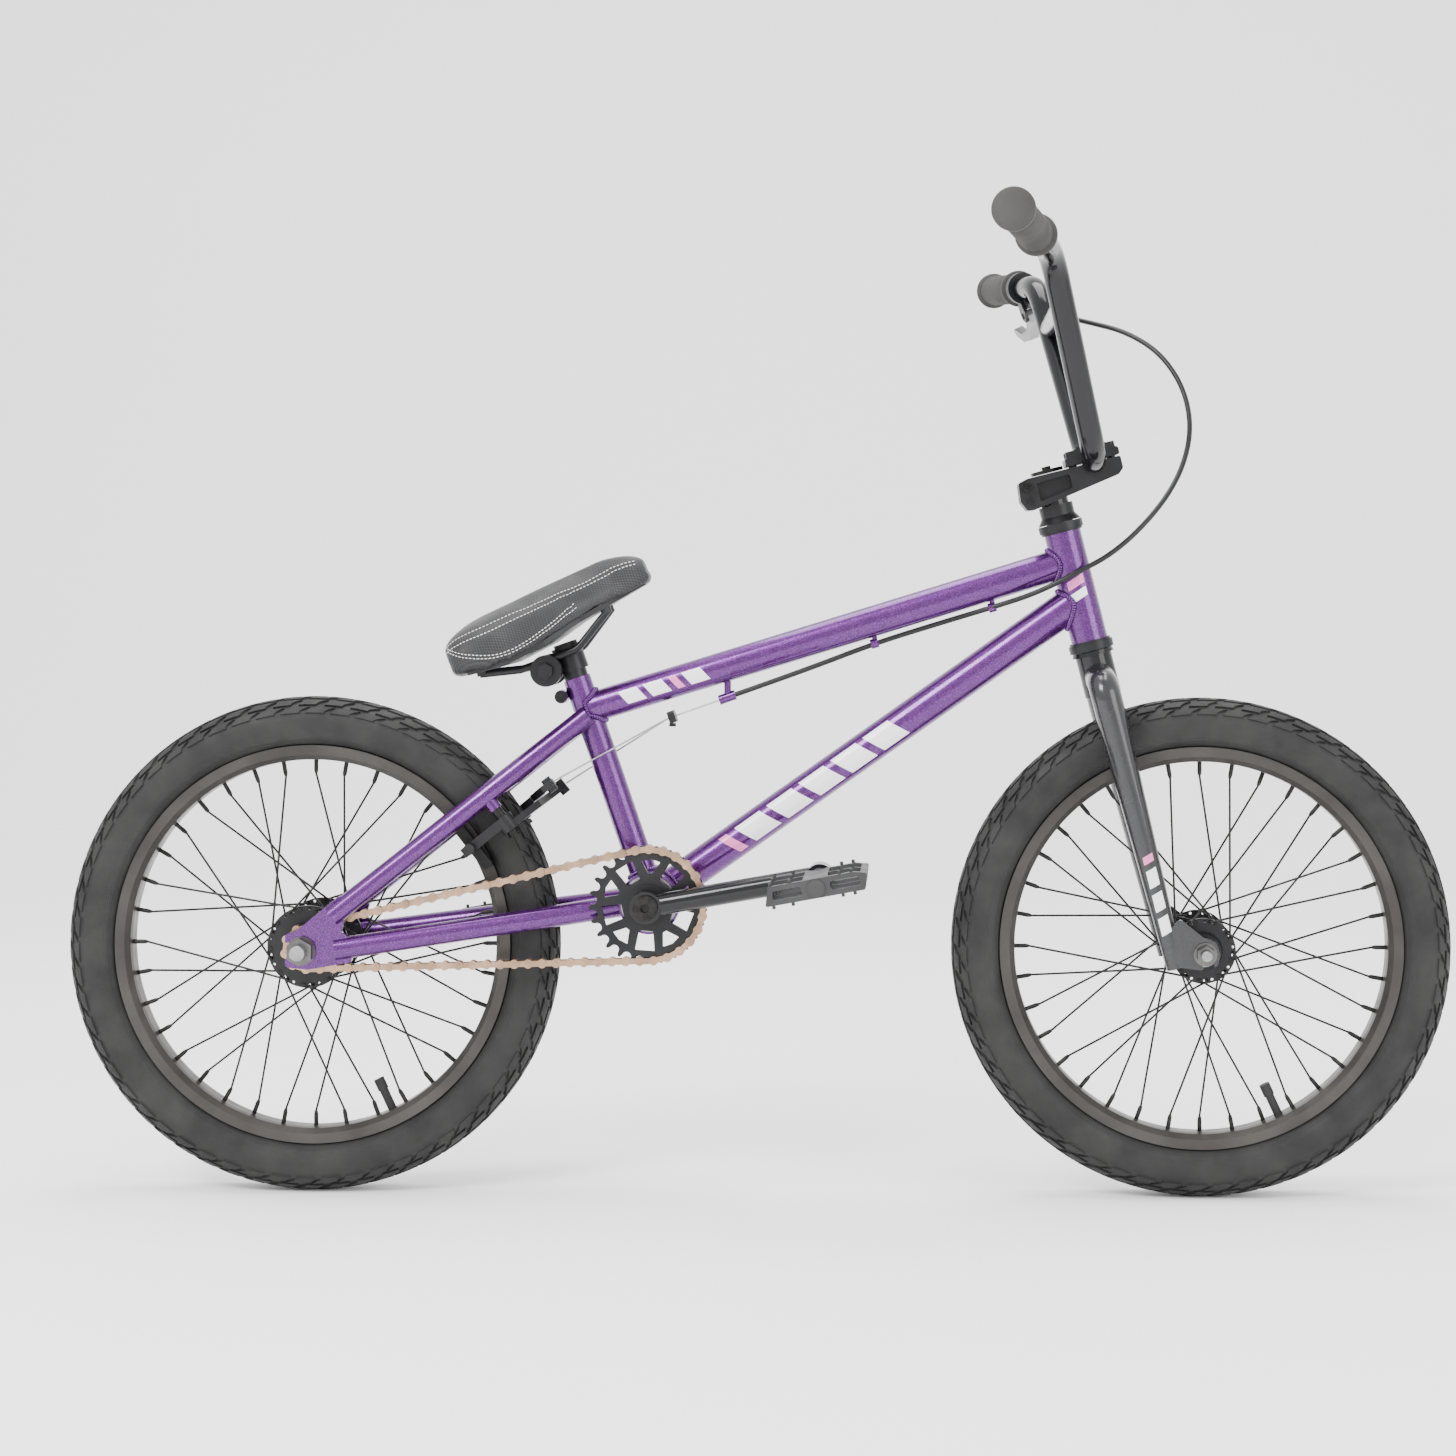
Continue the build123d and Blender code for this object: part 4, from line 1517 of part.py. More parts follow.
export_step(rear_inner_tube.part, "parts/rear_inner_tube.step")
driver.part.label = "driver"
export_step(driver.part, "parts/driver.step")
crank_spindle.part.label = "crank_spindle"
export_step(crank_spindle.part, "parts/crank_spindle.step")
crank_arm_right.part.label = "crank_arm_right"
export_step(crank_arm_right.part, "parts/crank_arm_right.step")
crank_arm_left.part.label = "crank_arm_left"
export_step(crank_arm_left.part, "parts/crank_arm_left.step")
sprocket.part.label = "sprocket"
export_step(sprocket.part, "parts/sprocket.step")
crank_hardware.part.label = "crank_hardware"
export_step(crank_hardware.part, "parts/crank_hardware.step")
pedal_axles.part.label = "pedal_axles"
export_step(pedal_axles.part, "parts/pedal_axles.step")
pedal_right.part.label = "pedal_right"
export_step(pedal_right.part, "parts/pedal_right.step")
pedal_left.part.label = "pedal_left"
export_step(pedal_left.part, "parts/pedal_left.step")
brake_lever.part.label = "brake_lever"
export_step(brake_lever.part, "parts/brake_lever.step")
brake_arm_right.part.label = "brake_arm_right"
export_step(brake_arm_right.part, "parts/brake_arm_right.step")
brake_arm_left.part.label = "brake_arm_left"
export_step(brake_arm_left.part, "parts/brake_arm_left.step")
brake_pad_right.part.label = "brake_pad_right"
export_step(brake_pad_right.part, "parts/brake_pad_right.step")
brake_pad_left.part.label = "brake_pad_left"
export_step(brake_pad_left.part, "parts/brake_pad_left.step")
brake_yoke.part.label = "brake_yoke"
export_step(brake_yoke.part, "parts/brake_yoke.step")
brake_wires.part.label = "brake_wires"
export_step(brake_wires.part, "parts/brake_wires.step")
seat_post.part.label = "seat_post"
export_step(seat_post.part, "parts/seat_post.step")
seat_rail_clamp.part.label = "seat_rail_clamp"
export_step(seat_rail_clamp.part, "parts/seat_rail_clamp.step")
seat_rails.part.label = "seat_rails"
export_step(seat_rails.part, "parts/seat_rails.step")
seat_base.part.label = "seat_base"
export_step(seat_base.part, "parts/seat_base.step")
seat_cover.part.label = "seat_cover"
export_step(seat_cover.part, "parts/seat_cover.step")
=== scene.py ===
"""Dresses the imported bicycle: paint, welds, tyres, grips, seat cover, brake cable, camera and light."""
import logging
import math
from dataclasses import dataclass, field
from enum import Enum

import bmesh
import bpy
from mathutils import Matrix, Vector
from mathutils.bvhtree import BVHTree


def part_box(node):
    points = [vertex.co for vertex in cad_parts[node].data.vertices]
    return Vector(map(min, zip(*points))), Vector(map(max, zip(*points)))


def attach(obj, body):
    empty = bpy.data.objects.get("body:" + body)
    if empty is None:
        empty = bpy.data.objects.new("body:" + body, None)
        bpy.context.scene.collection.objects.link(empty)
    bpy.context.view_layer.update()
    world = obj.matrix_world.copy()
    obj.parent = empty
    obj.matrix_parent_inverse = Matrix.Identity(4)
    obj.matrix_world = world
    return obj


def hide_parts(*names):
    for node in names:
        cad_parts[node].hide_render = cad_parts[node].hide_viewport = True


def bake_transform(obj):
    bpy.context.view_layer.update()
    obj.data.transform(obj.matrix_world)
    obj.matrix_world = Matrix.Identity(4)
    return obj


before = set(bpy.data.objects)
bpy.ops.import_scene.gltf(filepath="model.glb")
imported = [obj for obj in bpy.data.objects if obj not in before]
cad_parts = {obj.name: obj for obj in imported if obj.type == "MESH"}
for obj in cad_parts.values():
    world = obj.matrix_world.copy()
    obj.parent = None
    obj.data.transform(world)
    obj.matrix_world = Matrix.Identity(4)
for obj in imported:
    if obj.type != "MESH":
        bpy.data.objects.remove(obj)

log = logging.getLogger("bicycle")
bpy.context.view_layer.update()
Profile = list[tuple[float, float]]
Section = tuple[float, float, float, float]
MM = 0.001
PATTERN_MIDDLE = (0.3, 0.7)
SEAT_TILT = math.radians(20.2)
SEAT_ORIGIN = (-0.28728, 0.0, 0.49910)


# ---------------------------------------------------------------- layout
class Side(Enum):
    """The rider's side of a paired piece."""

    RIGHT = -1
    LEFT = 1


@dataclass(frozen=True)
class Layout:
    """Places on the frame that several pieces share, in metres."""

    bracket: Vector = field(default_factory=lambda: Vector((-0.09483, 0.0, 0.269)))
    steer_foot: Vector = field(default_factory=lambda: Vector((0.38008, 0.0, 0.22094)))
    head_up: Vector = field(default_factory=lambda: Vector((-0.24531, 0.0, 0.96944)))
    seat_up: Vector = field(default_factory=lambda: Vector((-0.32557, 0.0, 0.94552)))
    head_low: float = 0.2965
    head_high: float = 0.3985
    seat_tube_length: float = 0.216
    top_tube_on_seat_tube: float = 0.1857
    top_tube_on_head: float = 0.3715
    down_tube_on_head: float = 0.3359

    def on_steering(self, distance: float) -> Vector:
        """A point up the steering axis."""
        return self.steer_foot + self.head_up * distance

    def on_seat_tube(self, distance: float) -> Vector:
        """A point up the seat tube's axis."""
        return self.bracket + self.seat_up * distance

    @property
    def top_rear(self) -> Vector:
        """Where the top tube's axis meets the seat tube's."""
        return self.on_seat_tube(self.top_tube_on_seat_tube)

    @property
    def top_front(self) -> Vector:
        """Where the top tube's axis meets the head tube's."""
        return self.on_steering(self.top_tube_on_head)

    @property
    def down_front(self) -> Vector:
        """Where the down tube's axis meets the head tube's."""
        return self.on_steering(self.down_tube_on_head)


LAYOUT = Layout()


@dataclass(frozen=True)
class Tube:
    """A round tube from its far end towards the joint it is welded at."""

    start: Vector
    end: Vector
    radius: float

    @property
    def way(self) -> Vector:
        """The unit direction from start to end."""
        return (self.end - self.start).normalized()


# ---------------------------------------------------------------- finishes
class NodeGraph:
    """A node tree under construction."""

    tree: bpy.types.NodeTree

    def feed(self, socket: bpy.types.NodeSocket, value: object) -> None:
        """Gives an input a value, or the socket that carries one."""
        if isinstance(value, bpy.types.NodeSocket):
            self.tree.links.new(value, socket)
        else:
            socket.default_value = value

    def add(self, kind: str, feeds: dict[str | int, object] | None = None,
            **settings: object) -> bpy.types.Node:
        """Adds a node.

        Args:
            kind: the node's type.
            feeds: what goes into its inputs, by name or number.
            **settings: its other settings.

        Returns:
            The node.
        """
        node = self.tree.nodes.new(kind)
        for key, value in settings.items():
            setattr(node, key, value)
        for key, value in (feeds or {}).items():
            self.feed(node.inputs[key], value)
        return node

    def math(self, operation: str, *terms: object) -> bpy.types.NodeSocket:
        """Works out a number from numbers, or from sockets that carry them."""
        return self.add("ShaderNodeMath", dict(enumerate(terms)), operation=operation).outputs[0]


class Shader(NodeGraph):
    """A node material under construction."""

    def __init__(self, name: str) -> None:
        """Starts an empty principled material.

        Args:
            name: the material's name.
        """
        self.material = bpy.data.materials.new(name)
        self.material.use_nodes = True
        self.tree = self.material.node_tree
        self.surface = self.tree.nodes["Principled BSDF"]
        self.place = self.add("ShaderNodeTexCoord").outputs["Object"]

    def along(self, origin: Vector, way: Vector) -> bpy.types.NodeSocket:
        """The distance of each point from an origin along a direction."""
        offset = self.add("ShaderNodeVectorMath", {0: self.place, 1: origin}, operation="SUBTRACT").outputs[0]
        return self.add("ShaderNodeVectorMath", {0: offset, 1: way}, operation="DOT_PRODUCT").outputs["Value"]

    def noise(self, scale: float, detail: float = 3.0) -> bpy.types.NodeSocket:
        """A noise pattern fixed to the object."""
        feeds = {"Vector": self.place, "Scale": scale, "Detail": detail}
        return self.add("ShaderNodeTexNoise", feeds).outputs["Fac"]

    def cells(self, scale: float) -> bpy.types.NodeSocket:
        """The distance from each cell's middle, in a cell pattern fixed to the object."""
        return self.add("ShaderNodeTexVoronoi", {"Vector": self.place, "Scale": scale}).outputs["Distance"]

    def spread(self, source: bpy.types.NodeSocket, low: float, high: float) -> bpy.types.NodeSocket:
        """Maps the middle of a pattern's range to a range of values."""
        start, end = PATTERN_MIDDLE
        feeds = {"Value": source, "From Min": start, "From Max": end, "To Min": low, "To Max": high}
        return self.add("ShaderNodeMapRange", feeds).outputs["Result"]

    def mix(self, share: bpy.types.NodeSocket, *colours: object) -> bpy.types.NodeSocket:
        """Mixes two colours, each a tuple or a socket, by a share from 0 to 1."""
        first, second = (colour if isinstance(colour, bpy.types.NodeSocket) else (*colour, 1.0)
                         for colour in colours)
        feeds = {"Factor": share, 6: first, 7: second}
        return self.add("ShaderNodeMix", feeds, data_type="RGBA").outputs[2]

    def show(self, **values: object) -> None:
        """Sets inputs of the surface, each to a number or to a socket."""
        for key, value in values.items():
            self.feed(self.surface.inputs[key.replace("_", " ")], value)

    def relief(self, height: bpy.types.NodeSocket, depth: float, strength: float = 1.0) -> None:
        """Presses a height pattern into the surface's normal."""
        feeds = {"Strength": strength, "Distance": depth, "Height": height}
        self.show(Normal=self.add("ShaderNodeBump", feeds).outputs["Normal"])

    def wear(self, low: float, high: float, scale: float) -> None:
        """Lets the roughness wander between two values."""
        self.show(Roughness=self.spread(self.noise(scale), low, high))


@dataclass(frozen=True)
class Finish:
    """A plain finish: two close colours, wandering roughness and a fine grain."""

    name: str
    colour: tuple[float, float, float]
    accent: tuple[float, float, float]
    rough: tuple[float, float] = (0.3, 0.45)
    metallic: float = 0.0
    specular: float = 0.5
    grain_scale: float = 900.0
    grain_depth: float = 0.00002
    patch_scale: float = 18.0

    def material(self) -> bpy.types.Material:
        """Builds the finish."""
        shader = Shader(self.name)
        patches = shader.spread(shader.noise(self.patch_scale, 5.0), 0.0, 1.0)
        shader.wear(*self.rough, self.patch_scale * 3)
        shader.show(Base_Color=shader.mix(patches, self.colour, self.accent), Metallic=self.metallic,
                    Specular_IOR_Level=self.specular)
        shader.relief(shader.noise(self.grain_scale), self.grain_depth)
        return shader.material


@dataclass(frozen=True)
class Stripes:
    """Plain slanted blocks painted along a tube's sides, each (start, end, pink or white) in metres."""

    origin: Vector
    way: Vector
    half_height: float
    blocks: tuple[tuple[float, float, bool], ...]
    slant: float = 0.5


@dataclass(frozen=True)
class FlakePaint:
    """Metal-flake paint under a clear coat, with plain painted blocks where a tube has them."""

    name: str
    colour: tuple[float, float, float] = (0.034, 0.003, 0.058)
    flake: tuple[float, float, float] = (0.16, 0.028, 0.25)
    stripes: Stripes | None = None
    metallic: float = 0.75
    flake_scale: float = 1700.0
    pink: tuple[float, float, float] = (0.72, 0.16, 0.42)
    white: tuple[float, float, float] = (0.86, 0.86, 0.88)

    def material(self) -> bpy.types.Material:
        """Builds the paint."""
        shader = Shader(self.name)
        flakes = shader.spread(shader.cells(self.flake_scale), 0.0, 1.0)
        glints = shader.math("POWER", flakes, 2.6)
        drift = shader.spread(shader.noise(14.0), 0.0, 0.5)
        deep = shader.mix(drift, self.colour, tuple(min(1.0, part * 1.5) for part in self.colour))
        paint, metal = shader.mix(glints, deep, self.flake), self.metallic
        if self.stripes:
            paint, metal = self.painted(shader, paint)
        shader.wear(0.22, 0.34, 60.0)
        shader.show(Base_Color=paint, Metallic=metal, Coat_Weight=0.55, Coat_Roughness=0.05,
                    Specular_IOR_Level=0.35)
        shader.relief(shader.cells(self.flake_scale), 0.00003, 0.35)
        return shader.material

    def painted(self, shader: Shader,
                paint: bpy.types.NodeSocket) -> tuple[bpy.types.NodeSocket, bpy.types.NodeSocket]:
        """Lays the plain blocks over the paint.

        Args:
            shader: the material under construction.
            paint: the colour under the blocks.

        Returns:
            The colour and the metallic value with the blocks.
        """
        stripes = self.stripes
        up = stripes.way.cross(Vector((0, 1, 0))).normalized()
        height = shader.along(stripes.origin, up)
        travel = shader.along(stripes.origin, stripes.way)
        slanted = shader.math("MULTIPLY_ADD", height, stripes.slant, travel)
        band = shader.math("COMPARE", height, 0.0, stripes.half_height)
        covered: object = 0.0
        for start, end, pink in stripes.blocks:
            inside = shader.math("COMPARE", slanted, (start + end) / 2, (end - start) / 2)
            block = shader.math("MULTIPLY", inside, band)
            paint = shader.mix(block, paint, self.pink if pink else self.white)
            covered = shader.math("MAXIMUM", covered, block)
        metal = shader.math("MULTIPLY_ADD", covered, -self.metallic, self.metallic)
        return paint, metal


@dataclass(frozen=True)
class BrushedMetal:
    """Bare metal with fine lines along one direction."""

    name: str
    colour: tuple[float, float, float]
    rough: tuple[float, float] = (0.25, 0.4)
    stretch: tuple[float, float, float] = (200.0, 2500.0, 200.0)

    def material(self) -> bpy.types.Material:
        """Builds the metal."""
        shader = Shader(self.name)
        stretched = shader.add("ShaderNodeMapping", {"Vector": shader.place, "Scale": self.stretch})
        feeds = {"Vector": stretched.outputs[0], "Scale": 1.0}
        lines = shader.add("ShaderNodeTexNoise", feeds).outputs["Fac"]
        dark = tuple(part * 0.55 for part in self.colour)
        shade = shader.spread(shader.noise(45.0, 6.0), 0.0, 1.0)
        shader.wear(*self.rough, 120.0)
        shader.show(Base_Color=shader.mix(shade, dark, self.colour), Metallic=1.0)
        shader.relief(lines, 0.00002, 0.6)
        return shader.material


@dataclass(frozen=True)
class TyreRubber:
    """Dusty black rubber with fine mould rings round each wheel's axle."""

    name: str
    axle: Vector
    ring_pitch: float = 0.0016
    ringed_radius: float = 0.1925
    ringed_half: float = 0.0045

    def material(self) -> bpy.types.Material:
        """Builds the rubber."""
        shader = Shader(self.name)
        ahead = shader.along(self.axle, Vector((1, 0, 0)))
        above = shader.along(self.axle, Vector((0, 0, 1)))
        squares = shader.math("MULTIPLY_ADD", above, above, shader.math("MULTIPLY", ahead, ahead))
        radius = shader.math("SQRT", squares)
        rings = shader.math("SINE", shader.math("MULTIPLY", radius, math.tau / self.ring_pitch))
        low_wall = shader.math("COMPARE", radius, self.ringed_radius, self.ringed_half)
        rings = shader.math("MULTIPLY", rings, low_wall)
        grain = shader.math("MULTIPLY_ADD", shader.noise(1400.0), 0.8, rings)
        dust = shader.spread(shader.noise(26.0, 6.0), 0.0, 1.0)
        shader.wear(0.55, 0.72, 70.0)
        shader.show(Base_Color=shader.mix(dust, (0.012, 0.012, 0.012), (0.024, 0.024, 0.0235)),
                    Specular_IOR_Level=0.25)
        shader.relief(grain, 0.00012, 0.6)
        return shader.material


@dataclass(frozen=True)
class WovenCover:
    """A woven, slightly shiny cover in small two-tone squares that run down its sides."""

    name: str
    cell: float = 0.0026
    threads: int = 3

    def material(self) -> bpy.types.Material:
        """Builds the weave."""
        shader = Shader(self.name)
        parts = shader.add("ShaderNodeSeparateXYZ", {0: shader.place})
        across = shader.math("ABSOLUTE", parts.outputs["Y"])
        down = shader.math("SUBTRACT", across, parts.outputs["Z"])
        ahead = shader.math("MULTIPLY_ADD", parts.outputs["Z"], 0.33, parts.outputs["X"])
        turned_u = shader.math("ADD", ahead, down)
        turned_v = shader.math("SUBTRACT", ahead, down)
        vector = shader.add("ShaderNodeCombineXYZ", {"X": turned_u, "Y": turned_v}).outputs[0]
        feeds = {"Vector": vector, "Scale": 1.0 / self.cell}
        check = shader.add("ShaderNodeTexChecker", feeds).outputs["Fac"]
        rate = math.tau * self.threads / self.cell
        wave_u, wave_v = (shader.math("SINE", shader.math("MULTIPLY", way, rate))
                          for way in (turned_u, turned_v))
        weave = shader.math("ADD", shader.math("MULTIPLY", wave_u, check),
                            shader.math("MULTIPLY", wave_v, shader.math("SUBTRACT", 1.0, check)))
        shader.wear(0.32, 0.46, 30.0)
        shader.show(Base_Color=shader.mix(check, (0.006, 0.006, 0.007), (0.022, 0.022, 0.024)),
                    Sheen_Weight=0.05, Specular_IOR_Level=0.4)
        shader.relief(weave, 0.00012, 0.5)
        return shader.material


# ---------------------------------------------------------------- mesh helpers
def new_piece(name: str, mesh: bpy.types.Mesh, material: bpy.types.Material | None = None,
              smooth: bool = True) -> bpy.types.Object:
    """Puts a mesh in the scene as a piece.

    Args:
        name: the piece's name.
        mesh: its mesh, in place.
        material: its finish.
        smooth: whether its faces are shaded smooth.

    Returns:
        The new object.
    """
    piece = bpy.data.objects.new(name, mesh)
    bpy.context.scene.collection.objects.link(piece)
    if material:
        mesh.materials.clear()
        mesh.materials.append(material)
    for face in mesh.polygons:
        face.use_smooth = smooth
    return piece


def mesh_of(points: list[Vector], faces: list[tuple[int, ...]],
            edges: list[tuple[int, int]] = ()) -> bpy.types.Mesh:
    """A mesh from points, with outward faces where it has faces."""
    mesh = bpy.data.meshes.new("points")
    mesh.from_pydata([tuple(point) for point in points], list(edges), faces)
    if faces:
        shape = bmesh.new()
        shape.from_mesh(mesh)
        bmesh.ops.remove_doubles(shape, verts=shape.verts, dist=1e-6)
        bmesh.ops.recalc_face_normals(shape, faces=shape.faces)
        shape.to_mesh(mesh)
        shape.free()
    return mesh


def join_meshes(meshes: list[bpy.types.Mesh]) -> bpy.types.Mesh:
    """One mesh from several."""
    joined = bmesh.new()
    for mesh in meshes:
        joined.from_mesh(mesh)
    result = bpy.data.meshes.new("joined")
    joined.to_mesh(result)
    joined.free()
    return result


def turned(centre: Vector, way: Vector, outline: Profile, steps: int) -> bpy.types.Mesh:
    """Turns a closed outline of (distance along, radius) points about an axis.

    Args:
        centre: the axis's origin.
        way: the axis's direction.
        outline: the closed outline; a radius of zero is a pole.
        steps: how many faces go round.

    Returns:
        A closed mesh.
    """
    way = way.normalized()
    first = way.orthogonal().normalized()
    second = way.cross(first)
    points = []
    for step in range(steps):
        angle = math.tau * step / steps
        out = first * math.cos(angle) + second * math.sin(angle)
        points += [centre + way * along + out * radius for along, radius in outline]
    count = len(outline)
    faces = []
    for step in range(steps):
        here, there = step * count, (step + 1) % steps * count
        for row in range(count):
            after = (row + 1) % count
            faces.append((here + row, here + after, there + after, there + row))
    return mesh_of(points, faces)


def sharpen(piece: bpy.types.Object, degrees: float = 35.0) -> None:
    """Marks hard edges so that smooth shading keeps them crisp."""
    shape = bmesh.new()
    shape.from_mesh(piece.data)
    for edge in shape.edges:
        if len(edge.link_faces) == 2 and edge.calc_face_angle(0.0) > math.radians(degrees):
            edge.smooth = False
    shape.to_mesh(piece.data)
    shape.free()


# ---------------------------------------------------------------- geometry node patterns
class Pattern(NodeGraph):
    """A geometry node tree under construction, with named inputs."""

    def __init__(self, name: str, material: bpy.types.Material) -> None:
        """Starts a tree that takes and gives geometry.

        Args:
            name: the tree's name.
            material: the finish set on everything it makes.
        """
        self.tree = bpy.data.node_groups.new(name, "GeometryNodeTree")
        self.tree.interface.new_socket("Geometry", in_out="INPUT", socket_type="NodeSocketGeometry")
        self.tree.interface.new_socket("Geometry", in_out="OUTPUT", socket_type="NodeSocketGeometry")
        self.material = material
        self.values: dict[str, object] = {}
        self.entry = self.tree.nodes.new("NodeGroupInput")

    def take(self, name: str, kind: str, value: object) -> bpy.types.NodeSocket:
        """Adds a named input with the value it gets, and gives the socket that carries it."""
        self.tree.interface.new_socket(name, in_out="INPUT", socket_type=kind)
        self.values[name] = value
        return self.entry.outputs[name]

    def close(self, geometry: bpy.types.NodeSocket) -> None:
        """Ends the tree in real geometry with its finish."""
        real = self.add("GeometryNodeRealizeInstances", {0: geometry}).outputs[0]
        dressed = self.add("GeometryNodeSetMaterial", {"Geometry": real, "Material": self.material})
        self.add("NodeGroupOutput", {0: dressed.outputs[0]})

    def run(self, name: str, seed_mesh: bpy.types.Mesh) -> bpy.types.Object:
        """Runs the tree on a mesh and keeps the result as a plain mesh piece.

        Args:
            name: the new piece's name.
            seed_mesh: the mesh that the tree works on.

        Returns:
            The new piece.
        """
        carrier = bpy.data.objects.new(name + "_seed", seed_mesh)
        bpy.context.scene.collection.objects.link(carrier)
        modifier = carrier.modifiers.new("pattern", "NODES")
        modifier.node_group = self.tree
        for item in self.tree.interface.items_tree:
            if item.item_type == "SOCKET" and item.in_out == "INPUT" and item.name in self.values:
                modifier[item.identifier] = self.values[item.name]
        carrier.update_tag()
        graph = bpy.context.evaluated_depsgraph_get()
        mesh = bpy.data.meshes.new_from_object(carrier.evaluated_get(graph), depsgraph=graph)
        carrier.modifiers.remove(modifier)
        bpy.data.objects.remove(carrier)
        return new_piece(name, mesh, self.material)


def ring_pattern(name: str, material: bpy.types.Material, count: int, centre: Vector) -> Pattern:
    """A tree that repeats a motif round a Y axis through a centre.

    Args:
        name: the tree's name.
        material: the finish of the copies.
        count: how many copies go round.
        centre: where the axis is; the motif is drawn about the origin.

    Returns:
        The pattern, ready to run on the motif.
    """
    pattern = Pattern(name, material)
    copies_in = pattern.take("Count", "NodeSocketInt", count)
    centre_in = pattern.take("Centre", "NodeSocketVector", tuple(centre))
    line = pattern.add("GeometryNodeMeshLine", {"Offset": (0.0, 0.0, 0.0), "Count": copies_in})
    index = pattern.add("GeometryNodeInputIndex").outputs[0]
    angle = pattern.math("MULTIPLY", index, pattern.math("DIVIDE", math.tau, copies_in))
    turn = pattern.add("ShaderNodeCombineXYZ", {"Y": angle}).outputs[0]
    copies = pattern.add("GeometryNodeInstanceOnPoints", {
        "Points": line.outputs["Mesh"], "Instance": pattern.entry.outputs["Geometry"],
        "Rotation": turn}).outputs[0]
    moved = pattern.add("GeometryNodeTransform", {"Geometry": copies, "Translation": centre_in})
    pattern.close(moved.outputs[0])
    return pattern


def bead_pattern(name: str, material: bpy.types.Material, spacing: float,
                 size: tuple[float, float, float]) -> Pattern:
    """A tree that strings rounded beads along edge paths.

    Args:
        name: the tree's name.
        material: the finish of the beads.
        spacing: the distance from bead to bead.
        size: each bead's half-sizes, the last one along the path.

    Returns:
        The pattern, ready to run on the paths.
    """
    pattern = Pattern(name, material)
    gap_in = pattern.take("Spacing", "NodeSocketFloat", spacing)
    size_in = pattern.take("Size", "NodeSocketVector", size)
    curve = pattern.add("GeometryNodeMeshToCurve", {"Mesh": pattern.entry.outputs["Geometry"]}).outputs[0]
    spaced = pattern.add("GeometryNodeResampleCurve", {"Curve": curve, "Length": gap_in}, mode="LENGTH")
    bead = pattern.add("GeometryNodeMeshUVSphere", {"Segments": 8, "Rings": 6, "Radius": 1.0}).outputs["Mesh"]
    rounded = pattern.add("GeometryNodeSetShadeSmooth", {"Geometry": bead}).outputs[0]
    tangent = pattern.add("GeometryNodeInputTangent").outputs[0]
    facing = pattern.add("FunctionNodeAlignRotationToVector", {"Vector": tangent}, axis="Z").outputs[0]
    copies = pattern.add("GeometryNodeInstanceOnPoints", {
        "Points": spaced.outputs[0], "Instance": rounded, "Rotation": facing, "Scale": size_in})
    pattern.close(copies.outputs[0])
    return pattern


def paths_mesh(paths: list[list[Vector]], closed: bool) -> bpy.types.Mesh:
    """Edge paths in one mesh."""
    points: list[Vector] = []
    edges: list[tuple[int, int]] = []
    for path in paths:
        first = len(points)
        points += path
        edges += [(first + index, first + index + 1) for index in range(len(path) - 1)]
        if closed:
            edges.append((len(points) - 1, first))
    return mesh_of(points, [], edges)


# ---------------------------------------------------------------- sub-assemblies
@dataclass(frozen=True)
class Dressing:
    """A finish, and the CAD nodes that wear it."""

    finish: Finish | FlakePaint | BrushedMetal | WovenCover
    nodes: tuple[str, ...] = ()


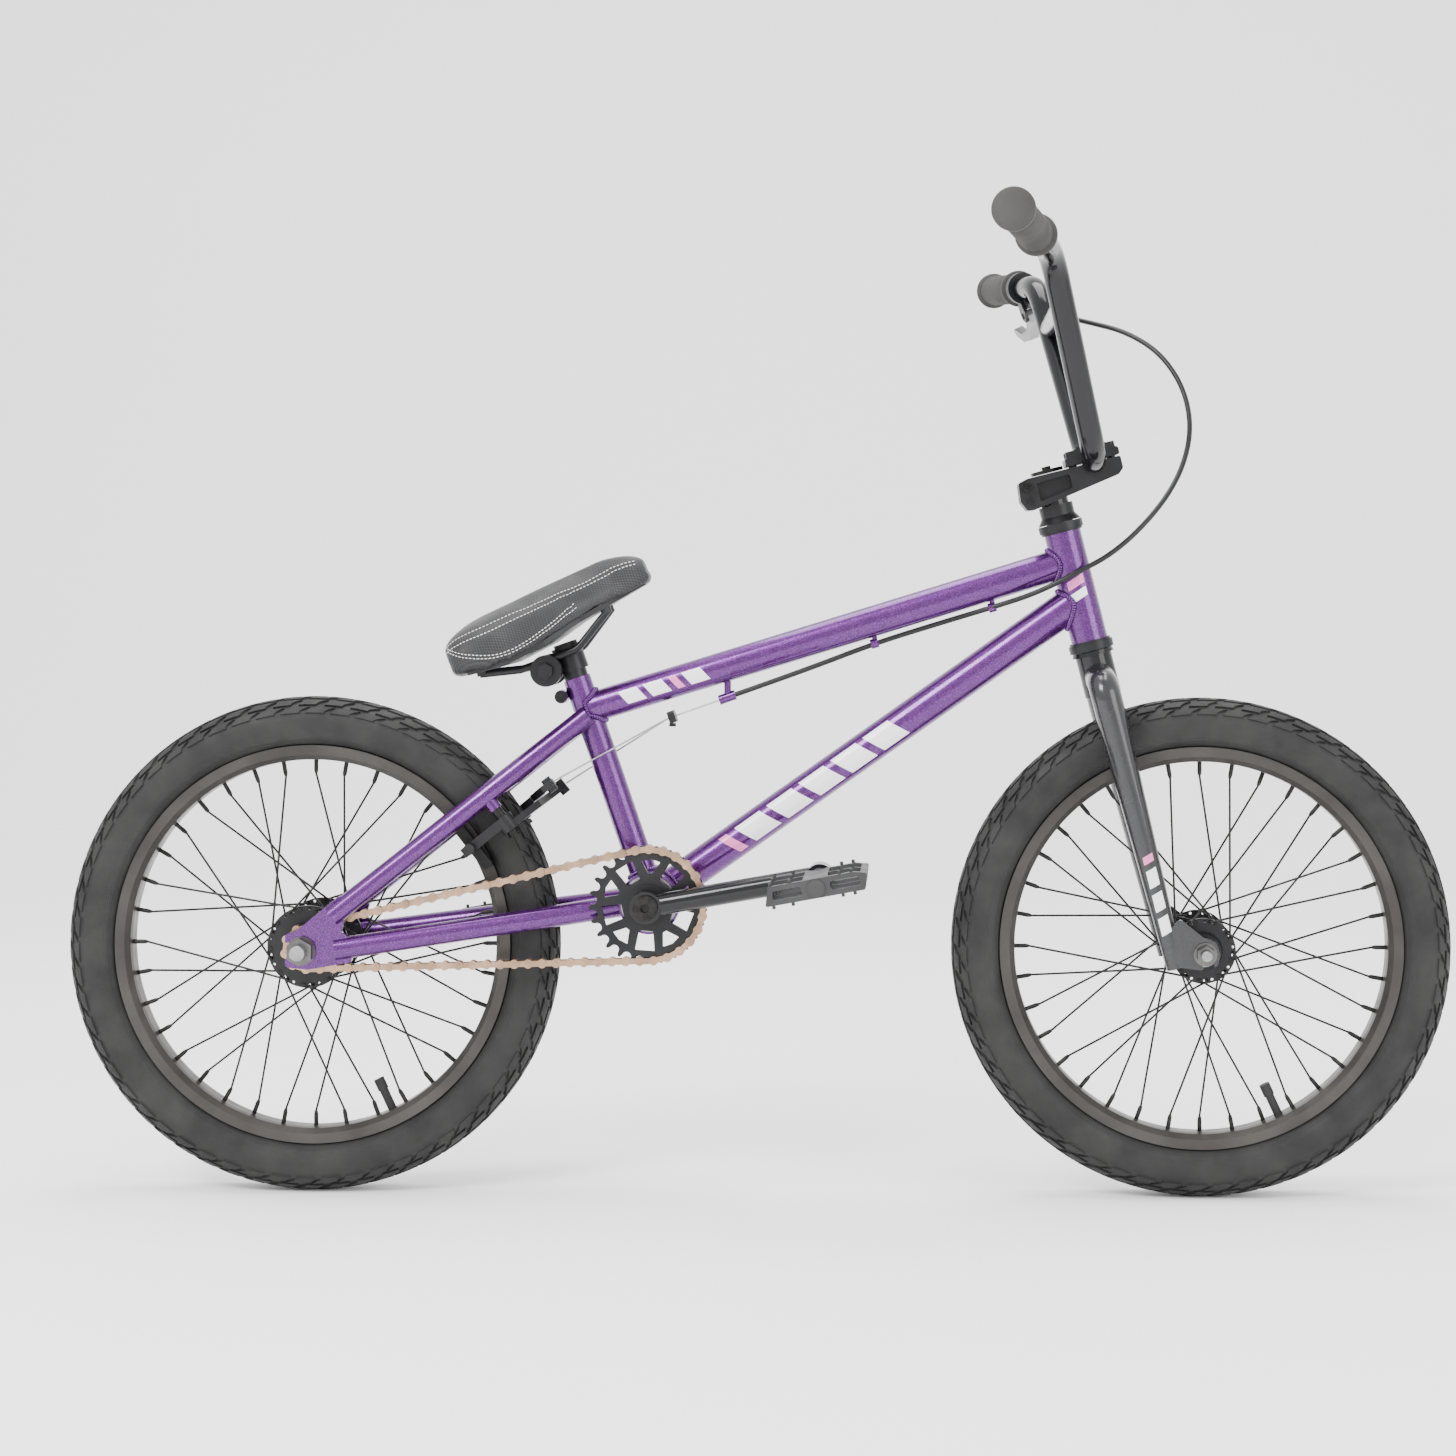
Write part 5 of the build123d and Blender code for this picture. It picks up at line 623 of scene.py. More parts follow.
class Paintwork:
    """The finishes of the pieces whose shape is already right."""

    def painted(self) -> dict[str, Dressing]:
        """The paints with plain blocks, each on its own tube, and the plain purple."""
        down_way = (LAYOUT.down_front - LAYOUT.bracket).normalized()
        top_way = (LAYOUT.top_front - LAYOUT.top_rear).normalized()
        down = Stripes(LAYOUT.bracket, down_way, 0.0105, (
            (0.088, 0.097, True), (0.106, 0.134, False), (0.142, 0.170, False), (0.178, 0.206, False),
            (0.214, 0.242, False), (0.250, 0.278, False)))
        top = Stripes(LAYOUT.top_rear, top_way, 0.0065, (
            (0.036, 0.054, False), (0.060, 0.078, False), (0.084, 0.091, True), (0.097, 0.115, False)))
        head = Stripes(LAYOUT.on_steering(0.3475), LAYOUT.head_up, 0.008, (
            (-0.012, -0.004, False), (0.0, 0.008, True)), 0.35)
        fork = Stripes(LAYOUT.steer_foot, LAYOUT.head_up, 0.0048, (
            (0.026, 0.042, False), (0.048, 0.064, False), (0.070, 0.086, False), (0.092, 0.099, True)), 0.3)
        return {
            "purple": Dressing(FlakePaint("purple_flake_paint"), (
                "bottom_bracket_shell", "chainstays", "seatstays", "rear_dropouts", "frame_fittings",
                "seat_tube")),
            "down": Dressing(FlakePaint("purple_paint_down_tube", stripes=down), ("down_tube",)),
            "top": Dressing(FlakePaint("purple_paint_top_tube", stripes=top), ("top_tube",)),
            "head": Dressing(FlakePaint("purple_paint_head_tube", stripes=head), ("head_tube",)),
            "fork": Dressing(FlakePaint(
                "black_paint_fork", (0.006, 0.006, 0.007), (0.016, 0.016, 0.018), fork, 0.0), ("fork_legs",)),
        }

    def metals(self) -> dict[str, Dressing]:
        """The black, bare and coppery metals."""
        return {
            "gloss": Dressing(Finish(
                "gloss_black_paint", (0.003, 0.003, 0.004), (0.006, 0.006, 0.007), (0.10, 0.17),
                specular=0.34, grain_scale=120.0, grain_depth=0.00003), (
                "fork_steerer", "handlebar", "crank_arm_right", "crank_arm_left", "crank_spindle")),
            "satin": Dressing(Finish(
                "satin_black_metal", (0.006, 0.006, 0.007), (0.014, 0.014, 0.015), (0.30, 0.44), 0.2, 0.3,
                1500.0), (
                "headset_cups", "headset_spacers", "stem_body", "stem_cap", "front_hub", "rear_hub",
                "sprocket", "driver", "brake_arm_right", "brake_arm_left", "brake_yoke", "seat_post",
                "seat_rail_clamp",
                "seat_rails", "lever_bracket")),
            "rim": Dressing(Finish(
                "taupe_rim_metal", (0.036, 0.032, 0.030), (0.060, 0.055, 0.050), (0.3, 0.42), 0.6, 0.4, 700.0,
                0.00001), ("front_rim", "rear_rim")),
            "blacksteel": Dressing(Finish(
                "black_steel", (0.008, 0.008, 0.008), (0.024, 0.023, 0.022), (0.25, 0.4), 0.7, 0.4, 1200.0,
                0.00001, 160.0), (
                "stem_bolts", "front_spokes", "rear_spokes", "frame_bolts", "crank_hardware")),
            "alloy": Dressing(Finish(
                "silver_grey_alloy", (0.20, 0.20, 0.205), (0.30, 0.30, 0.305), (0.3, 0.42), 0.85),
                ("brake_lever",)),
            "steel": Dressing(BrushedMetal("bare_steel", (0.42, 0.42, 0.43)), (
                "rear_axle", "front_axle", "bottom_bracket_bearings", "front_hub_bearings",
                "rear_hub_bearings", "pedal_axles", "brake_wires")),
            "nuts": Dressing(BrushedMetal("dark_nut_steel", (0.16, 0.155, 0.15), (0.28, 0.42)), (
                "rear_axle_nuts", "front_axle_nuts")),
            "copper": Dressing(BrushedMetal("copper_chain_metal", (0.50, 0.33, 0.22), (0.24, 0.42)), (
                "chain",)),
        }

    def soft(self) -> dict[str, Dressing]:
        """The rubbers, the plastics and what the seat is sewn from."""
        return {
            "cable": Dressing(Finish(
                "cable_sheath", (0.005, 0.005, 0.005), (0.010, 0.010, 0.010), (0.28, 0.38), specular=0.3,
                grain_scale=500.0)),
            "pad": Dressing(Finish(
                "pad_rubber", (0.008, 0.008, 0.008), (0.018, 0.018, 0.018), (0.6, 0.75), specular=0.3), (
                "brake_pad_right", "brake_pad_left", "front_inner_tube", "rear_inner_tube")),
            "grip": Dressing(Finish(
                "grip_rubber", (0.028, 0.027, 0.026), (0.048, 0.046, 0.044), (0.55, 0.7), 0.0, 0.3, 1100.0,
                0.00008)),
            "pedal": Dressing(Finish(
                "moulded_grey_plastic", (0.022, 0.022, 0.023), (0.038, 0.038, 0.039), (0.38, 0.52), 0.0, 0.4,
                1300.0, 0.00008), ("pedal_right", "pedal_left")),
            "plastic": Dressing(Finish(
                "black_plastic", (0.008, 0.008, 0.009), (0.016, 0.016, 0.017), (0.38, 0.5), 0.0, 0.35, 1000.0,
                0.00005), ("seat_base",)),
            "thread": Dressing(Finish(
                "white_thread", (0.78, 0.78, 0.76), (0.62, 0.62, 0.6), (0.6, 0.8), 0.0, 0.3, 4000.0, 0.0001)),
            "weave": Dressing(WovenCover("woven_cover")),
        }

    def dress(self, node: str, material: bpy.types.Material) -> None:
        """Gives one node its finish."""
        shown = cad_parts[node]
        if not shown.material_slots:
            shown.data.materials.append(material)
        for slot in shown.material_slots:
            slot.material = material

    def build(self) -> dict[str, bpy.types.Material]:
        """Dresses the frame, the fork, the drive and the wheels.

        Returns:
            The finishes by name, for the pieces built later.
        """
        dressings = self.painted() | self.metals() | self.soft()
        kinds = {kind: dressing.finish.material() for kind, dressing in dressings.items()}
        for kind, dressing in dressings.items():
            for node in dressing.nodes:
                self.dress(node, kinds[kind])
        log.info("made %d finishes", len(kinds))
        return kinds


@dataclass
class Welds:
    """Overlapping weld beads where the frame's tubes meet."""

    material: bpy.types.Material
    spacing: float = 0.0022
    bead: tuple[float, float, float] = (0.0027, 0.0027, 0.0017)
    steps: int = 72
    lift: float = 0.0006
    head_radius: float = 0.017
    seat_radius: float = 0.0127
    top_radius: float = 0.0143
    down_radius: float = 0.0159
    shell_radius: float = 0.028
    shell_half: float = 0.034

    def saddle(self, tube: Tube, wall: Tube) -> list[Vector]:
        """The closed line where a tube's outside meets another tube's outside."""
        first = tube.way.orthogonal().normalized()
        second = tube.way.cross(first)
        line = []
        for step in range(self.steps):
            angle = math.tau * step / self.steps
            out = first * math.cos(angle) + second * math.sin(angle)
            offset = tube.start + out * tube.radius - wall.start
            flat = offset - wall.way * offset.dot(wall.way)
            run = tube.way - wall.way * tube.way.dot(wall.way)
            a, b, c = run.dot(run), 2 * flat.dot(run), flat.dot(flat) - wall.radius ** 2
            travel = (-b - math.sqrt(max(0.0, b * b - 4 * a * c))) / (2 * a)
            line.append(tube.start + out * (tube.radius + self.lift) + tube.way * (travel - self.lift))
        return line

    def build(self) -> None:
        """Makes the beads on the frame."""
        head_foot = LAYOUT.on_steering(LAYOUT.head_low)
        head = Tube(head_foot, LAYOUT.on_steering(LAYOUT.head_high), self.head_radius)
        seat_top = LAYOUT.on_seat_tube(LAYOUT.seat_tube_length)
        seat = Tube(LAYOUT.bracket, seat_top, self.seat_radius)
        reach = Vector((0, self.shell_half, 0))
        shell = Tube(LAYOUT.bracket - reach, LAYOUT.bracket + reach, self.shell_radius)
        lines = [
            self.saddle(Tube(LAYOUT.top_rear, LAYOUT.top_front, self.top_radius), head),
            self.saddle(Tube(LAYOUT.top_front, LAYOUT.top_rear, self.top_radius), seat),
            self.saddle(Tube(LAYOUT.bracket, LAYOUT.down_front, self.down_radius), head),
            self.saddle(Tube(LAYOUT.down_front, LAYOUT.bracket, self.down_radius), shell),
            self.saddle(Tube(seat_top, LAYOUT.bracket, self.seat_radius), shell),
        ]
        piece = bead_pattern("weld_bead_string", self.material, self.spacing, self.bead).run(
            "weld_beads", paths_mesh(lines, closed=True))
        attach(piece, "frame")
        log.info("weld beads: %d faces", len(piece.data.polygons))


@dataclass
class Tyre:
    """A tyre with a smooth sidewall, a raised side line and tread blocks."""

    node: str
    rim: str
    body: str
    tread_depth: float = 0.0019
    wall: float = 0.0026
    side_tread: float = 0.4
    crown_power: float = 0.92
    side_line: float = 0.0008
    bead_line: float = 0.0007
    block_lean: float = 0.42
    block_bow: float = 0.25
    block_taper: float = 0.10
    block_root: float = -0.0008
    blocks_round: int = 58
    steps: int = 144
    rows: tuple[tuple[float, float, float, float], ...] = (
        (0.06, 0.0, 0.36, 0.74), (0.46, 0.35, 0.80, 1.09), (0.90, 0.0, 1.20, 0.80))

    def __post_init__(self) -> None:
        """Reads the tyre's place and size."""
        low, high = (Vector(corner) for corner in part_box(self.node))
        self.centre = (low + high) / 2
        self.radius = (high.z - low.z) / 2
        self.half = (high.y - low.y) / 2
        rim_low, rim_high = (Vector(corner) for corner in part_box(self.rim))
        self.rim_radius = (rim_high.z - rim_low.z) / 2
        self.bead_half = (rim_high.y - rim_low.y) / 2 - self.wall
        self.mid = (self.radius + self.rim_radius) / 2

    def skin(self, angle: float, lift: float = 0.0) -> tuple[float, float]:
        """A point on the crown, as (sideways, radius), at an angle from its top."""
        across = self.half - self.tread_depth * self.side_tread + lift
        share = math.copysign(abs(math.sin(angle)) ** self.crown_power, angle)
        return across * share, self.mid + (self.radius - self.tread_depth - self.mid + lift) * math.cos(angle)

    def outline(self) -> Profile:
        """The closed cross-section of the tyre's wall."""
        wide = self.skin(math.pi / 2)[0]
        outer: Profile = []
        for step in range(0, 22):
            angle = math.pi / 2 * step / 21
            outer.append(self.skin(angle, self.side_line if step == 15 else 0.0))
        drop = self.mid - self.rim_radius - 0.0012
        for step in range(1, 11):
            angle = math.pi / 2 * step / 10
            bump = self.bead_line if step in (5, 9) else 0.0
            outer.append((self.bead_half + (wide - self.bead_half) * math.cos(angle) + bump,
                          self.mid - drop * math.sin(angle)))
        outer.append((self.bead_half, self.rim_radius - 0.006))
        inner = [(max(0.0, across - self.wall), radius - self.wall if radius > self.mid else radius)
                 for across, radius in reversed(outer)]
        inner[-1] = (0.0, inner[-1][1])
        half_loop = outer[1:] + inner[:-1]
        mirrored = [(-across, radius) for across, radius in reversed(half_loop)]
        return [outer[0]] + half_loop + [inner[-1]] + mirrored

    def block(self, start: tuple[float, float], end: tuple[float, float], lean: float) -> bpy.types.Mesh:
        """One raised block between two side angles and two turns round the tyre.

        Args:
            start, end: the block's (side angle, turn) at its two corners.
            lean: how far the block's far side is turned ahead of its near side.

        Returns:
            The block's mesh, about the origin.
        """
        (side_low, turn_low), (side_high, turn_high) = start, end
        points, faces = [], []
        across_steps, along_steps = 4, 3
        for lift, inset in ((self.block_root, 0.0), (self.tread_depth, self.block_taper)):
            for i in range(across_steps + 1):
                share = i / across_steps
                share_in = inset / 2 + share * (1 - inset)
                side_angle = side_low + (side_high - side_low) * share_in
                bow = lean * (share_in + self.block_bow * math.sin(math.pi * share_in))
                for j in range(along_steps + 1):
                    along = inset / 2 + j / along_steps * (1 - inset)
                    turn = turn_low + (turn_high - turn_low) * along + bow
                    across, radius = self.skin(side_angle, lift)
                    radius = min(radius, self.radius)
                    points.append(Vector((radius * math.cos(turn), across, radius * math.sin(turn))))
        width = along_steps + 1
        layer = (across_steps + 1) * width
        for i in range(across_steps):
            for j in range(along_steps):
                corner = i * width + j
                faces.append((corner, corner + 1, corner + width + 1, corner + width))
                top = corner + layer
                faces.append((top, top + width, top + width + 1, top + 1))
        ring = [(i, 0) for i in range(across_steps)] + [(across_steps, j) for j in range(along_steps)]
        ring += [(i, along_steps) for i in range(across_steps, 0, -1)]
        ring += [(0, j) for j in range(along_steps, 0, -1)]
        loop = [i * width + j for i, j in ring]
        for here, there in zip(loop, loop[1:] + loop[:1]):
            faces.append((here, there, there + layer, here + layer))
        return mesh_of(points, faces)

    def build(self) -> None:
        """Builds the wall and the tread and stands them for the node."""
        material = TyreRubber(self.node + "_rubber", self.centre).material()
        solid = turned(self.centre, Vector((0, 1, 0)), self.outline(), self.steps)
        wall = new_piece(self.body + "_tyre_wall", solid, material)
        pitch = math.tau / self.blocks_round
        motif = []
        for side_low, turn_low, side_high, turn_high in self.rows:
            for side, late in ((1, 0.0), (-1, 0.5)):
                start = (side * side_low, (turn_low + late) * pitch)
                end = (side * side_high, (turn_high + late) * pitch)
                motif.append(self.block(start, end, pitch * self.block_lean))
        pattern = ring_pattern(self.node + "_tread_ring", material, self.blocks_round, self.centre)
        tread = pattern.run(self.body + "_tyre_tread", join_meshes(motif))
        sharpen(tread)
        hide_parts(self.node)
        for piece in (wall, tread):
            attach(piece, self.body)
        log.info("%s: wall %d, tread %d faces", self.node, len(wall.data.polygons), len(tread.data.polygons))


@dataclass
class Grips:
    """Ribbed rubber grips with end flanges and domed ends."""

    material: bpy.types.Material
    tip: Vector = field(default_factory=lambda: Vector((0.22774, 0.343, 0.86185)))
    bend: Vector = field(default_factory=lambda: Vector((0.26574, 0.155, 0.84785)))
    length: float = 0.118
    radius: float = 0.0148
    flange: float = 0.018
    bore: float = 0.01112
    rib_pitch: float = 0.0034
    rib_share: float = 0.62
    past_tip: float = 0.005

    def outline(self) -> Profile:
        """The grip's closed cross-section from its inner end out to the dome."""
        rows: Profile = [(0.0, self.bore), (0.0, self.flange - 0.0006), (0.0006, self.flange),
                         (0.0034, self.flange), (0.004, self.flange - 0.0006), (0.0048, self.radius)]
        at = 0.0075
        while at < self.length - 0.012:
            low, high = self.radius - 0.0008, self.radius + 0.0003
            crest = at + self.rib_pitch * self.rib_share
            rows += [(at, low), (at + 0.0006, high), (crest, high), (crest + 0.0006, low)]
            at += self.rib_pitch
        end = self.length
        rows += [(end - 0.0075, self.radius), (end - 0.0065, self.flange - 0.0006),
                 (end - 0.0058, self.flange), (end - 0.0022, self.flange),
                 (end - 0.0014, self.flange - 0.0008), (end - 0.0008, 0.0135),
                 (end - 0.0001, 0.0095), (end, 0.0), (end - 0.006, 0.0), (end - 0.006, self.bore)]
        return rows

    def build(self) -> None:
        """Builds both grips as one piece on the bar."""
        halves = []
        for side in Side:
            tip = Vector((self.tip.x, self.tip.y * side.value, self.tip.z))
            bend = Vector((self.bend.x, self.bend.y * side.value, self.bend.z))
            out = (tip - bend).normalized()
            start = tip + out * (self.past_tip - self.length)
            halves.append(turned(start, out, self.outline(), 44))
        piece = new_piece("bar_grips", join_meshes(halves), self.material)
        sharpen(piece, 50.0)
        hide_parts("grips")
        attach(piece, "steering")
        log.info("grips: %d faces", len(piece.data.polygons))


@dataclass
class SeatCover:
    """The padded cover, swollen by cloth simulation, with its sewn edges.

    Each section is (distance from the rear, top, lower edge, width), and each point of the side panel's
    seam is (distance from the rear, share of the height), in millimetres.
    """

    cover: bpy.types.Material
    thread: bpy.types.Material
    voxel: float = 0.0045
    start_inset: float = 0.0022
    cap: float = 0.006
    pressure: float = 4.0
    cloth_frames: int = 20
    smoothing_rounds: int = 4
    stitch_lift: float = 0.0002
    origin: Vector = field(default_factory=lambda: Vector(SEAT_ORIGIN))
    ahead: Vector = field(default_factory=lambda: Vector((math.cos(SEAT_TILT), 0.0, math.sin(SEAT_TILT))))
    above: Vector = field(default_factory=lambda: Vector((-math.sin(SEAT_TILT), 0.0, math.cos(SEAT_TILT))))
    seams: tuple[tuple[float, float], ...] = ((0.86, 0.86), (0.76, 0.96))
    panel: tuple[tuple[float, float], ...] = (
        (8.0, 0.74), (26.0, 0.42), (60.0, 0.20), (100.0, 0.26), (135.0, 0.45))
    panel_rows: tuple[float, float] = (0.0, 0.0035)
    sections: tuple[Section, ...] = (
        (2.0, 2.0, -28.0, 88.0), (20.0, 10.0, -35.0, 118.0), (55.0, 13.5, -38.0, 128.0),
        (95.0, 17.5, -33.0, 108.0), (130.0, 21.0, -24.0, 70.0), (168.0, 24.5, -17.0, 46.0),
        (196.0, 23.0, -12.0, 38.0))

    def plain_copy(self) -> bpy.types.Object:
        """A merged, inset and remeshed copy of the cover's solid."""
        shape = bmesh.new()
        shape.from_mesh(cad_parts["seat_cover"].data)
        bmesh.ops.remove_doubles(shape, verts=shape.verts, dist=1e-5)
        bmesh.ops.recalc_face_normals(shape, faces=shape.faces)
        mesh = bpy.data.meshes.new("seat_cover_start")
        shape.to_mesh(mesh)
        shape.free()
        piece = new_piece("padded_seat_cover", mesh)
        voxels = piece.modifiers.new("voxels", "REMESH")
        voxels.mode = "VOXEL"
        voxels.voxel_size = self.voxel
        self.settle(piece)
        normals = [vertex.normal.copy() for vertex in piece.data.vertices]
        for vertex, normal in zip(piece.data.vertices, normals):
            vertex.co -= normal * self.start_inset
        return piece

    def settle(self, piece: bpy.types.Object) -> None:
        """Turns a piece's modifiers into plain mesh."""
        graph = bpy.context.evaluated_depsgraph_get()
        mesh = bpy.data.meshes.new_from_object(piece.evaluated_get(graph), depsgraph=graph)
        piece.modifiers.clear()
        piece.data = mesh

    def swell(self, piece: bpy.types.Object) -> None:
        """Swells the cover by pressure and caps how far each point moves."""
        rest = [vertex.co.copy() for vertex in piece.data.vertices]
        normals = [vertex.normal.copy() for vertex in piece.data.vertices]
        cloth = piece.modifiers.new("swell", "CLOTH")
        cloth.settings.use_pressure = True
        cloth.settings.uniform_pressure_force = self.pressure
        cloth.settings.quality = 6
        cloth.settings.effector_weights.gravity = 0.0
        for number in range(1, self.cloth_frames + 1):
            bpy.context.scene.frame_set(number)
        graph = bpy.context.evaluated_depsgraph_get()
        solved = piece.evaluated_get(graph).to_mesh()
        moved = [vertex.co.copy() for vertex in solved.vertices]
        piece.evaluated_get(graph).to_mesh_clear()
        piece.modifiers.clear()
        bpy.context.scene.frame_set(1)
        for vertex, start, end, normal in zip(piece.data.vertices, rest, moved, normals):
            limit = self.cap if normal.dot(self.above) > -0.2 else 0.0
            step = end - start
            if step.length > limit:
                step = step.normalized() * limit if step.length else step
            vertex.co = start + step
        shape = bmesh.new()
        shape.from_mesh(piece.data)
        for _ in range(self.smoothing_rounds):
            bmesh.ops.smooth_vert(shape, verts=shape.verts, factor=0.4, use_axis_x=True, use_axis_y=True,
                                  use_axis_z=True)
        shape.to_mesh(piece.data)
        shape.free()

    def place(self, section: Section, height: float, width: float, side: Side) -> Vector:
        """A point on one side of a section, at a share of its height and half-width."""
        ahead, top, low, wide = section
        level = low + (top - low) * height
        return (self.origin + self.ahead * ahead * MM + self.above * level * MM
                + Vector((0, side.value * wide / 2 * width * MM, 0)))

    def section_at(self, ahead: float) -> Section:
        """The section at a distance from the seat's rear."""
        for first, second in zip(self.sections, self.sections[1:]):
            if first[0] <= ahead <= second[0]:
                share = (ahead - first[0]) / (second[0] - first[0])
                return tuple(a + (b - a) * share for a, b in zip(first, second))
        return self.sections[-1]

    def smoothed(self, line: list[Vector]) -> list[Vector]:
        """A line rounded through its points."""
        rounded = []
        padded = [line[0]] + line + [line[-1]]
        for before, here, there, after in zip(padded, padded[1:], padded[2:], padded[3:]):
            for step in range(10):
                t = step / 10
                square = (2 * before - 5 * here + 4 * there - after) * t * t
                cube = (3 * here - before - 3 * there + after) * t ** 3
                rounded.append(0.5 * (2 * here + (there - before) * t + square + cube))
        return rounded

    def laid_on(self, tree: BVHTree, line: list[Vector]) -> list[Vector]:
        """A line brought to just above the nearest points of the cover."""
        found = [tree.find_nearest(point)[:2] for point in line]
        return [point + normal * self.stitch_lift for point, normal in found if point is not None]

    def build(self) -> None:
        """Builds the cover and its stitches."""
        piece = self.plain_copy()
        self.swell(piece)
        finer = piece.modifiers.new("finer", "SUBSURF")
        finer.levels = finer.render_levels = 1
        self.settle(piece)
        piece.data.materials.clear()
        piece.data.materials.append(self.cover)
        for face in piece.data.polygons:
            face.use_smooth = True
        tree = BVHTree.FromObject(piece, bpy.context.evaluated_depsgraph_get())
        lines = []
        for side in Side:
            for height, width in self.seams:
                seam = [self.place(section, height, width, side) for section in self.sections]
                lines.append(self.laid_on(tree, self.smoothed(seam)))
            edge = [self.place(self.section_at(ahead), height, 1.0, side) for ahead, height in self.panel]
            for offset in self.panel_rows:
                row = [point + self.above * offset for point in self.smoothed(edge)]
                lines.append(self.laid_on(tree, row))
        stitches = bead_pattern("seat_stitches", self.thread, 0.0036, (0.00042, 0.00042, 0.00125)).run(
            "seat_stitches", paths_mesh(lines, closed=False))
        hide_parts("seat_cover")
        for sewn in (piece, stitches):
            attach(sewn, "seat")
        log.info("seat cover: %d faces, stitches %d", len(piece.data.polygons), len(stitches.data.polygons))


@dataclass
class BrakeCable:
    """The sheathed brake cable from the lever back along the top tube."""

    material: bpy.types.Material
    radius: float = 0.0025
    route: tuple[tuple[float, float, float], ...] = (
        (-18.0, 0.0, 458.0), (45.0, -1.0, 480.2), (110.0, 0.0, 505.2), (165.0, 0.0, 522.4),
        (218.0, -2.0, 538.4), (256.0, -17.5, 551.0), (290.0, -23.5, 568.0), (332.0, -13.0, 590.0),
        (372.0, 9.0, 629.5),
        (396.0, 36.0, 667.0), (406.0, 57.0, 706.0), (400.0, 74.0, 745.0), (379.0, 91.0, 779.0),
        (348.0, 107.0, 800.0), (317.0, 127.0, 810.0), (292.0, 152.0, 818.0), (275.0, 180.0, 828.0))
    length: float = 0.766
    bend_start: tuple[float, float, float] = (0.350, 0.0, 0.600)
    bend_end: tuple[float, float, float] = (0.300, 0.120, 0.800)

    def curve_mesh(self, radius: float) -> bpy.types.Mesh:
        """The cable's smooth curve as a mesh, a bare line where the radius is zero."""
        curve = bpy.data.curves.new("brake_cable_curve", "CURVE")
        curve.dimensions = "3D"
        curve.bevel_depth = radius
        curve.bevel_resolution = 3
        curve.use_fill_caps = True
        spline = curve.splines.new("NURBS")
        spline.points.add(len(self.route) - 1)
        for point, place in zip(spline.points, self.route):
            point.co = (*(part * MM for part in place), 1.0)
        spline.order_u = 3
        spline.use_endpoint_u = True
        spline.resolution_u = 12
        carrier = bpy.data.objects.new("brake_cable_curve", curve)
        bpy.context.scene.collection.objects.link(carrier)
        graph = bpy.context.evaluated_depsgraph_get()
        mesh = bpy.data.meshes.new_from_object(carrier.evaluated_get(graph), depsgraph=graph)
        bpy.data.objects.remove(carrier)
        return mesh

    def build(self) -> None:
        """Lays the cable on one smooth curve."""
        path = [tuple(vertex.co) for vertex in self.curve_mesh(0.0).vertices]
        piece = new_piece("brake_cable", self.curve_mesh(self.radius), self.material)
        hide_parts("brake_cable_housing")
        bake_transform(piece)
        log.info("brake cable: %d faces along %d points", len(piece.data.polygons), len(path))


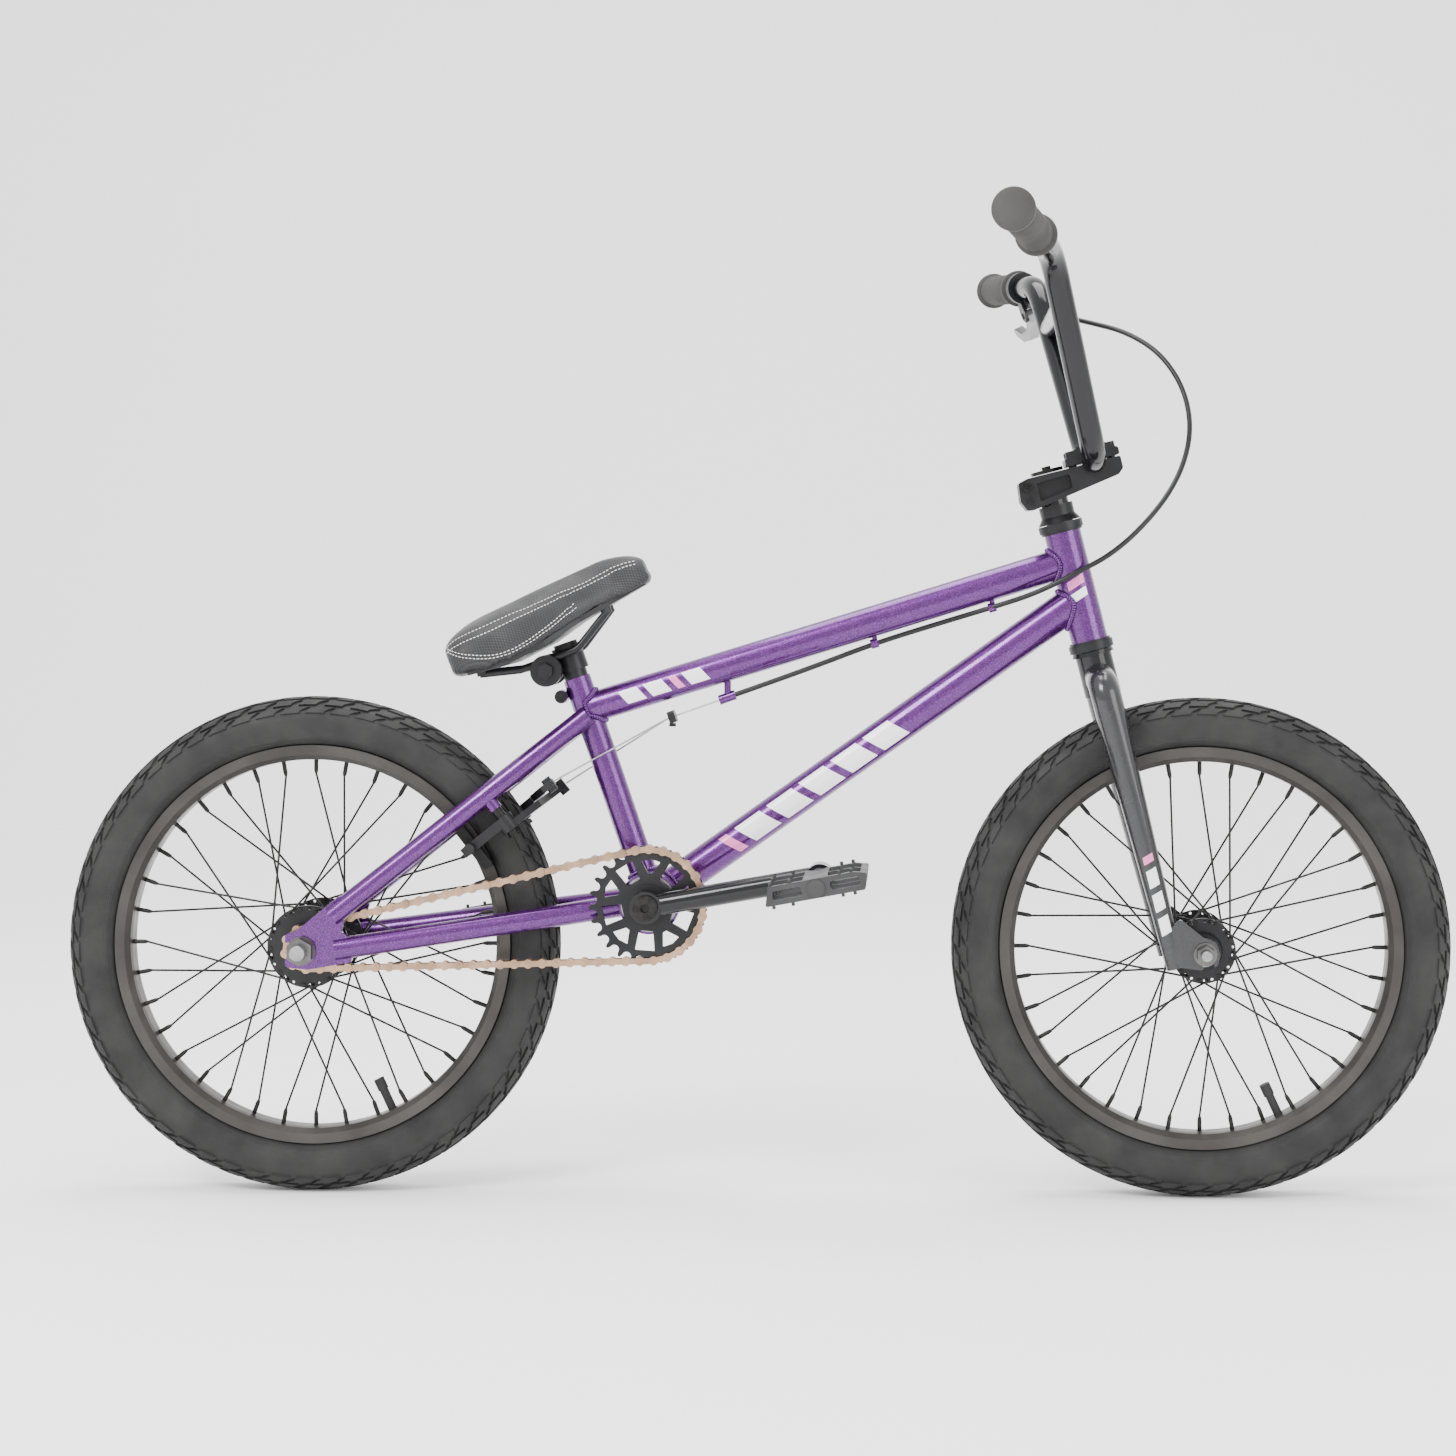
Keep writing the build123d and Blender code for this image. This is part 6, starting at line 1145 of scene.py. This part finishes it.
@dataclass
class Studio:
    """The floor, the light and the camera."""

    camera_at: tuple[float, float, float] = (0.1605, -2.598, 0.582)
    turn: float = 2.0
    lens: float = 69.8
    shift: tuple[float, float] = (-0.0707, -0.1154)
    floor_half: float = 8.0
    floor_front: float = -6.0
    floor_back: float = 2.4
    bend: float = 1.5
    bend_steps: int = 12
    wall_top: float = 6.0
    aim: tuple[float, float, float] = (0.0, 0.0, 0.4)
    surroundings: float = 1.7
    lamps: tuple[tuple[str, tuple[float, float, float], float, float], ...] = (
        ("key_lamp", (-1.6, -2.2, 2.6), 1.2, 120.0), ("fill_lamp", (2.4, -2.0, 1.4), 1.8, 50.0),
        ("top_lamp", (0.0, 0.4, 3.2), 2.0, 110.0))

    def floor(self) -> None:
        """A pale floor that curves up into a backdrop."""
        rows = [(self.floor_front, 0.0), (self.floor_back, 0.0)]
        for step in range(1, self.bend_steps + 1):
            angle = step / self.bend_steps * math.pi / 2
            rows.append((self.floor_back + self.bend * math.sin(angle), self.bend * (1 - math.cos(angle))))
        rows.append((self.floor_back + self.bend, self.wall_top))
        points = [Vector((x, y, z)) for y, z in rows for x in (-self.floor_half, self.floor_half)]
        faces = [(2 * row, 2 * row + 1, 2 * row + 3, 2 * row + 2) for row in range(len(rows) - 1)]
        mesh = bpy.data.meshes.new("studio_floor")
        mesh.from_pydata([tuple(point) for point in points], [], faces)
        shader = Shader("studio_white")
        shade = shader.mix(shader.noise(0.6), (0.93, 0.93, 0.93), (0.95, 0.95, 0.95))
        shader.show(Base_Color=shade, Roughness=0.9)
        new_piece("studio_floor", mesh, shader.material)

    def lamp(self, name: str, place: tuple[float, float, float], size: float, power: float) -> None:
        """A large soft lamp that faces the bicycle."""
        light = bpy.data.lights.new(name, "AREA")
        light.shape = "SQUARE"
        light.size = size
        light.energy = power
        lamp = bpy.data.objects.new(name, light)
        lamp.location = place
        way = Vector(self.aim) - Vector(place)
        lamp.rotation_euler = way.to_track_quat("-Z", "Y").to_euler()
        bpy.context.scene.collection.objects.link(lamp)

    def build(self) -> None:
        """Sets up the floor, three lamps, the pale surroundings and the camera."""
        self.floor()
        for name, place, size, power in self.lamps:
            self.lamp(name, place, size, power)
        world = bpy.data.worlds.new("pale_surroundings")
        world.use_nodes = True
        backdrop = world.node_tree.nodes["Background"]
        backdrop.inputs["Color"].default_value = (1.0, 1.0, 1.0, 1.0)
        backdrop.inputs["Strength"].default_value = self.surroundings
        bpy.context.scene.world = world
        optics = bpy.data.cameras.new("camera")
        optics.lens = self.lens
        optics.sensor_width = 36.0
        optics.shift_x, optics.shift_y = self.shift
        optics.clip_end = 50.0
        camera = bpy.data.objects.new("camera", optics)
        camera.location = self.camera_at
        camera.rotation_euler = (math.radians(90.0), 0.0, math.radians(self.turn))
        bpy.context.scene.collection.objects.link(camera)
        bpy.context.scene.camera = camera


def main() -> None:
    """Builds the pieces in order."""
    logging.basicConfig(level=logging.INFO, format="%(name)s: %(message)s")
    kinds = Paintwork().build()
    Welds(kinds["purple"]).build()
    Tyre("front_tyre", "front_rim", "front_wheel").build()
    Tyre("rear_tyre", "rear_rim", "rear_wheel").build()
    Grips(kinds["grip"]).build()
    SeatCover(kinds["weave"], kinds["thread"]).build()
    BrakeCable(kinds["cable"]).build()
    Studio().build()


if __name__ == "__main__":
    main()
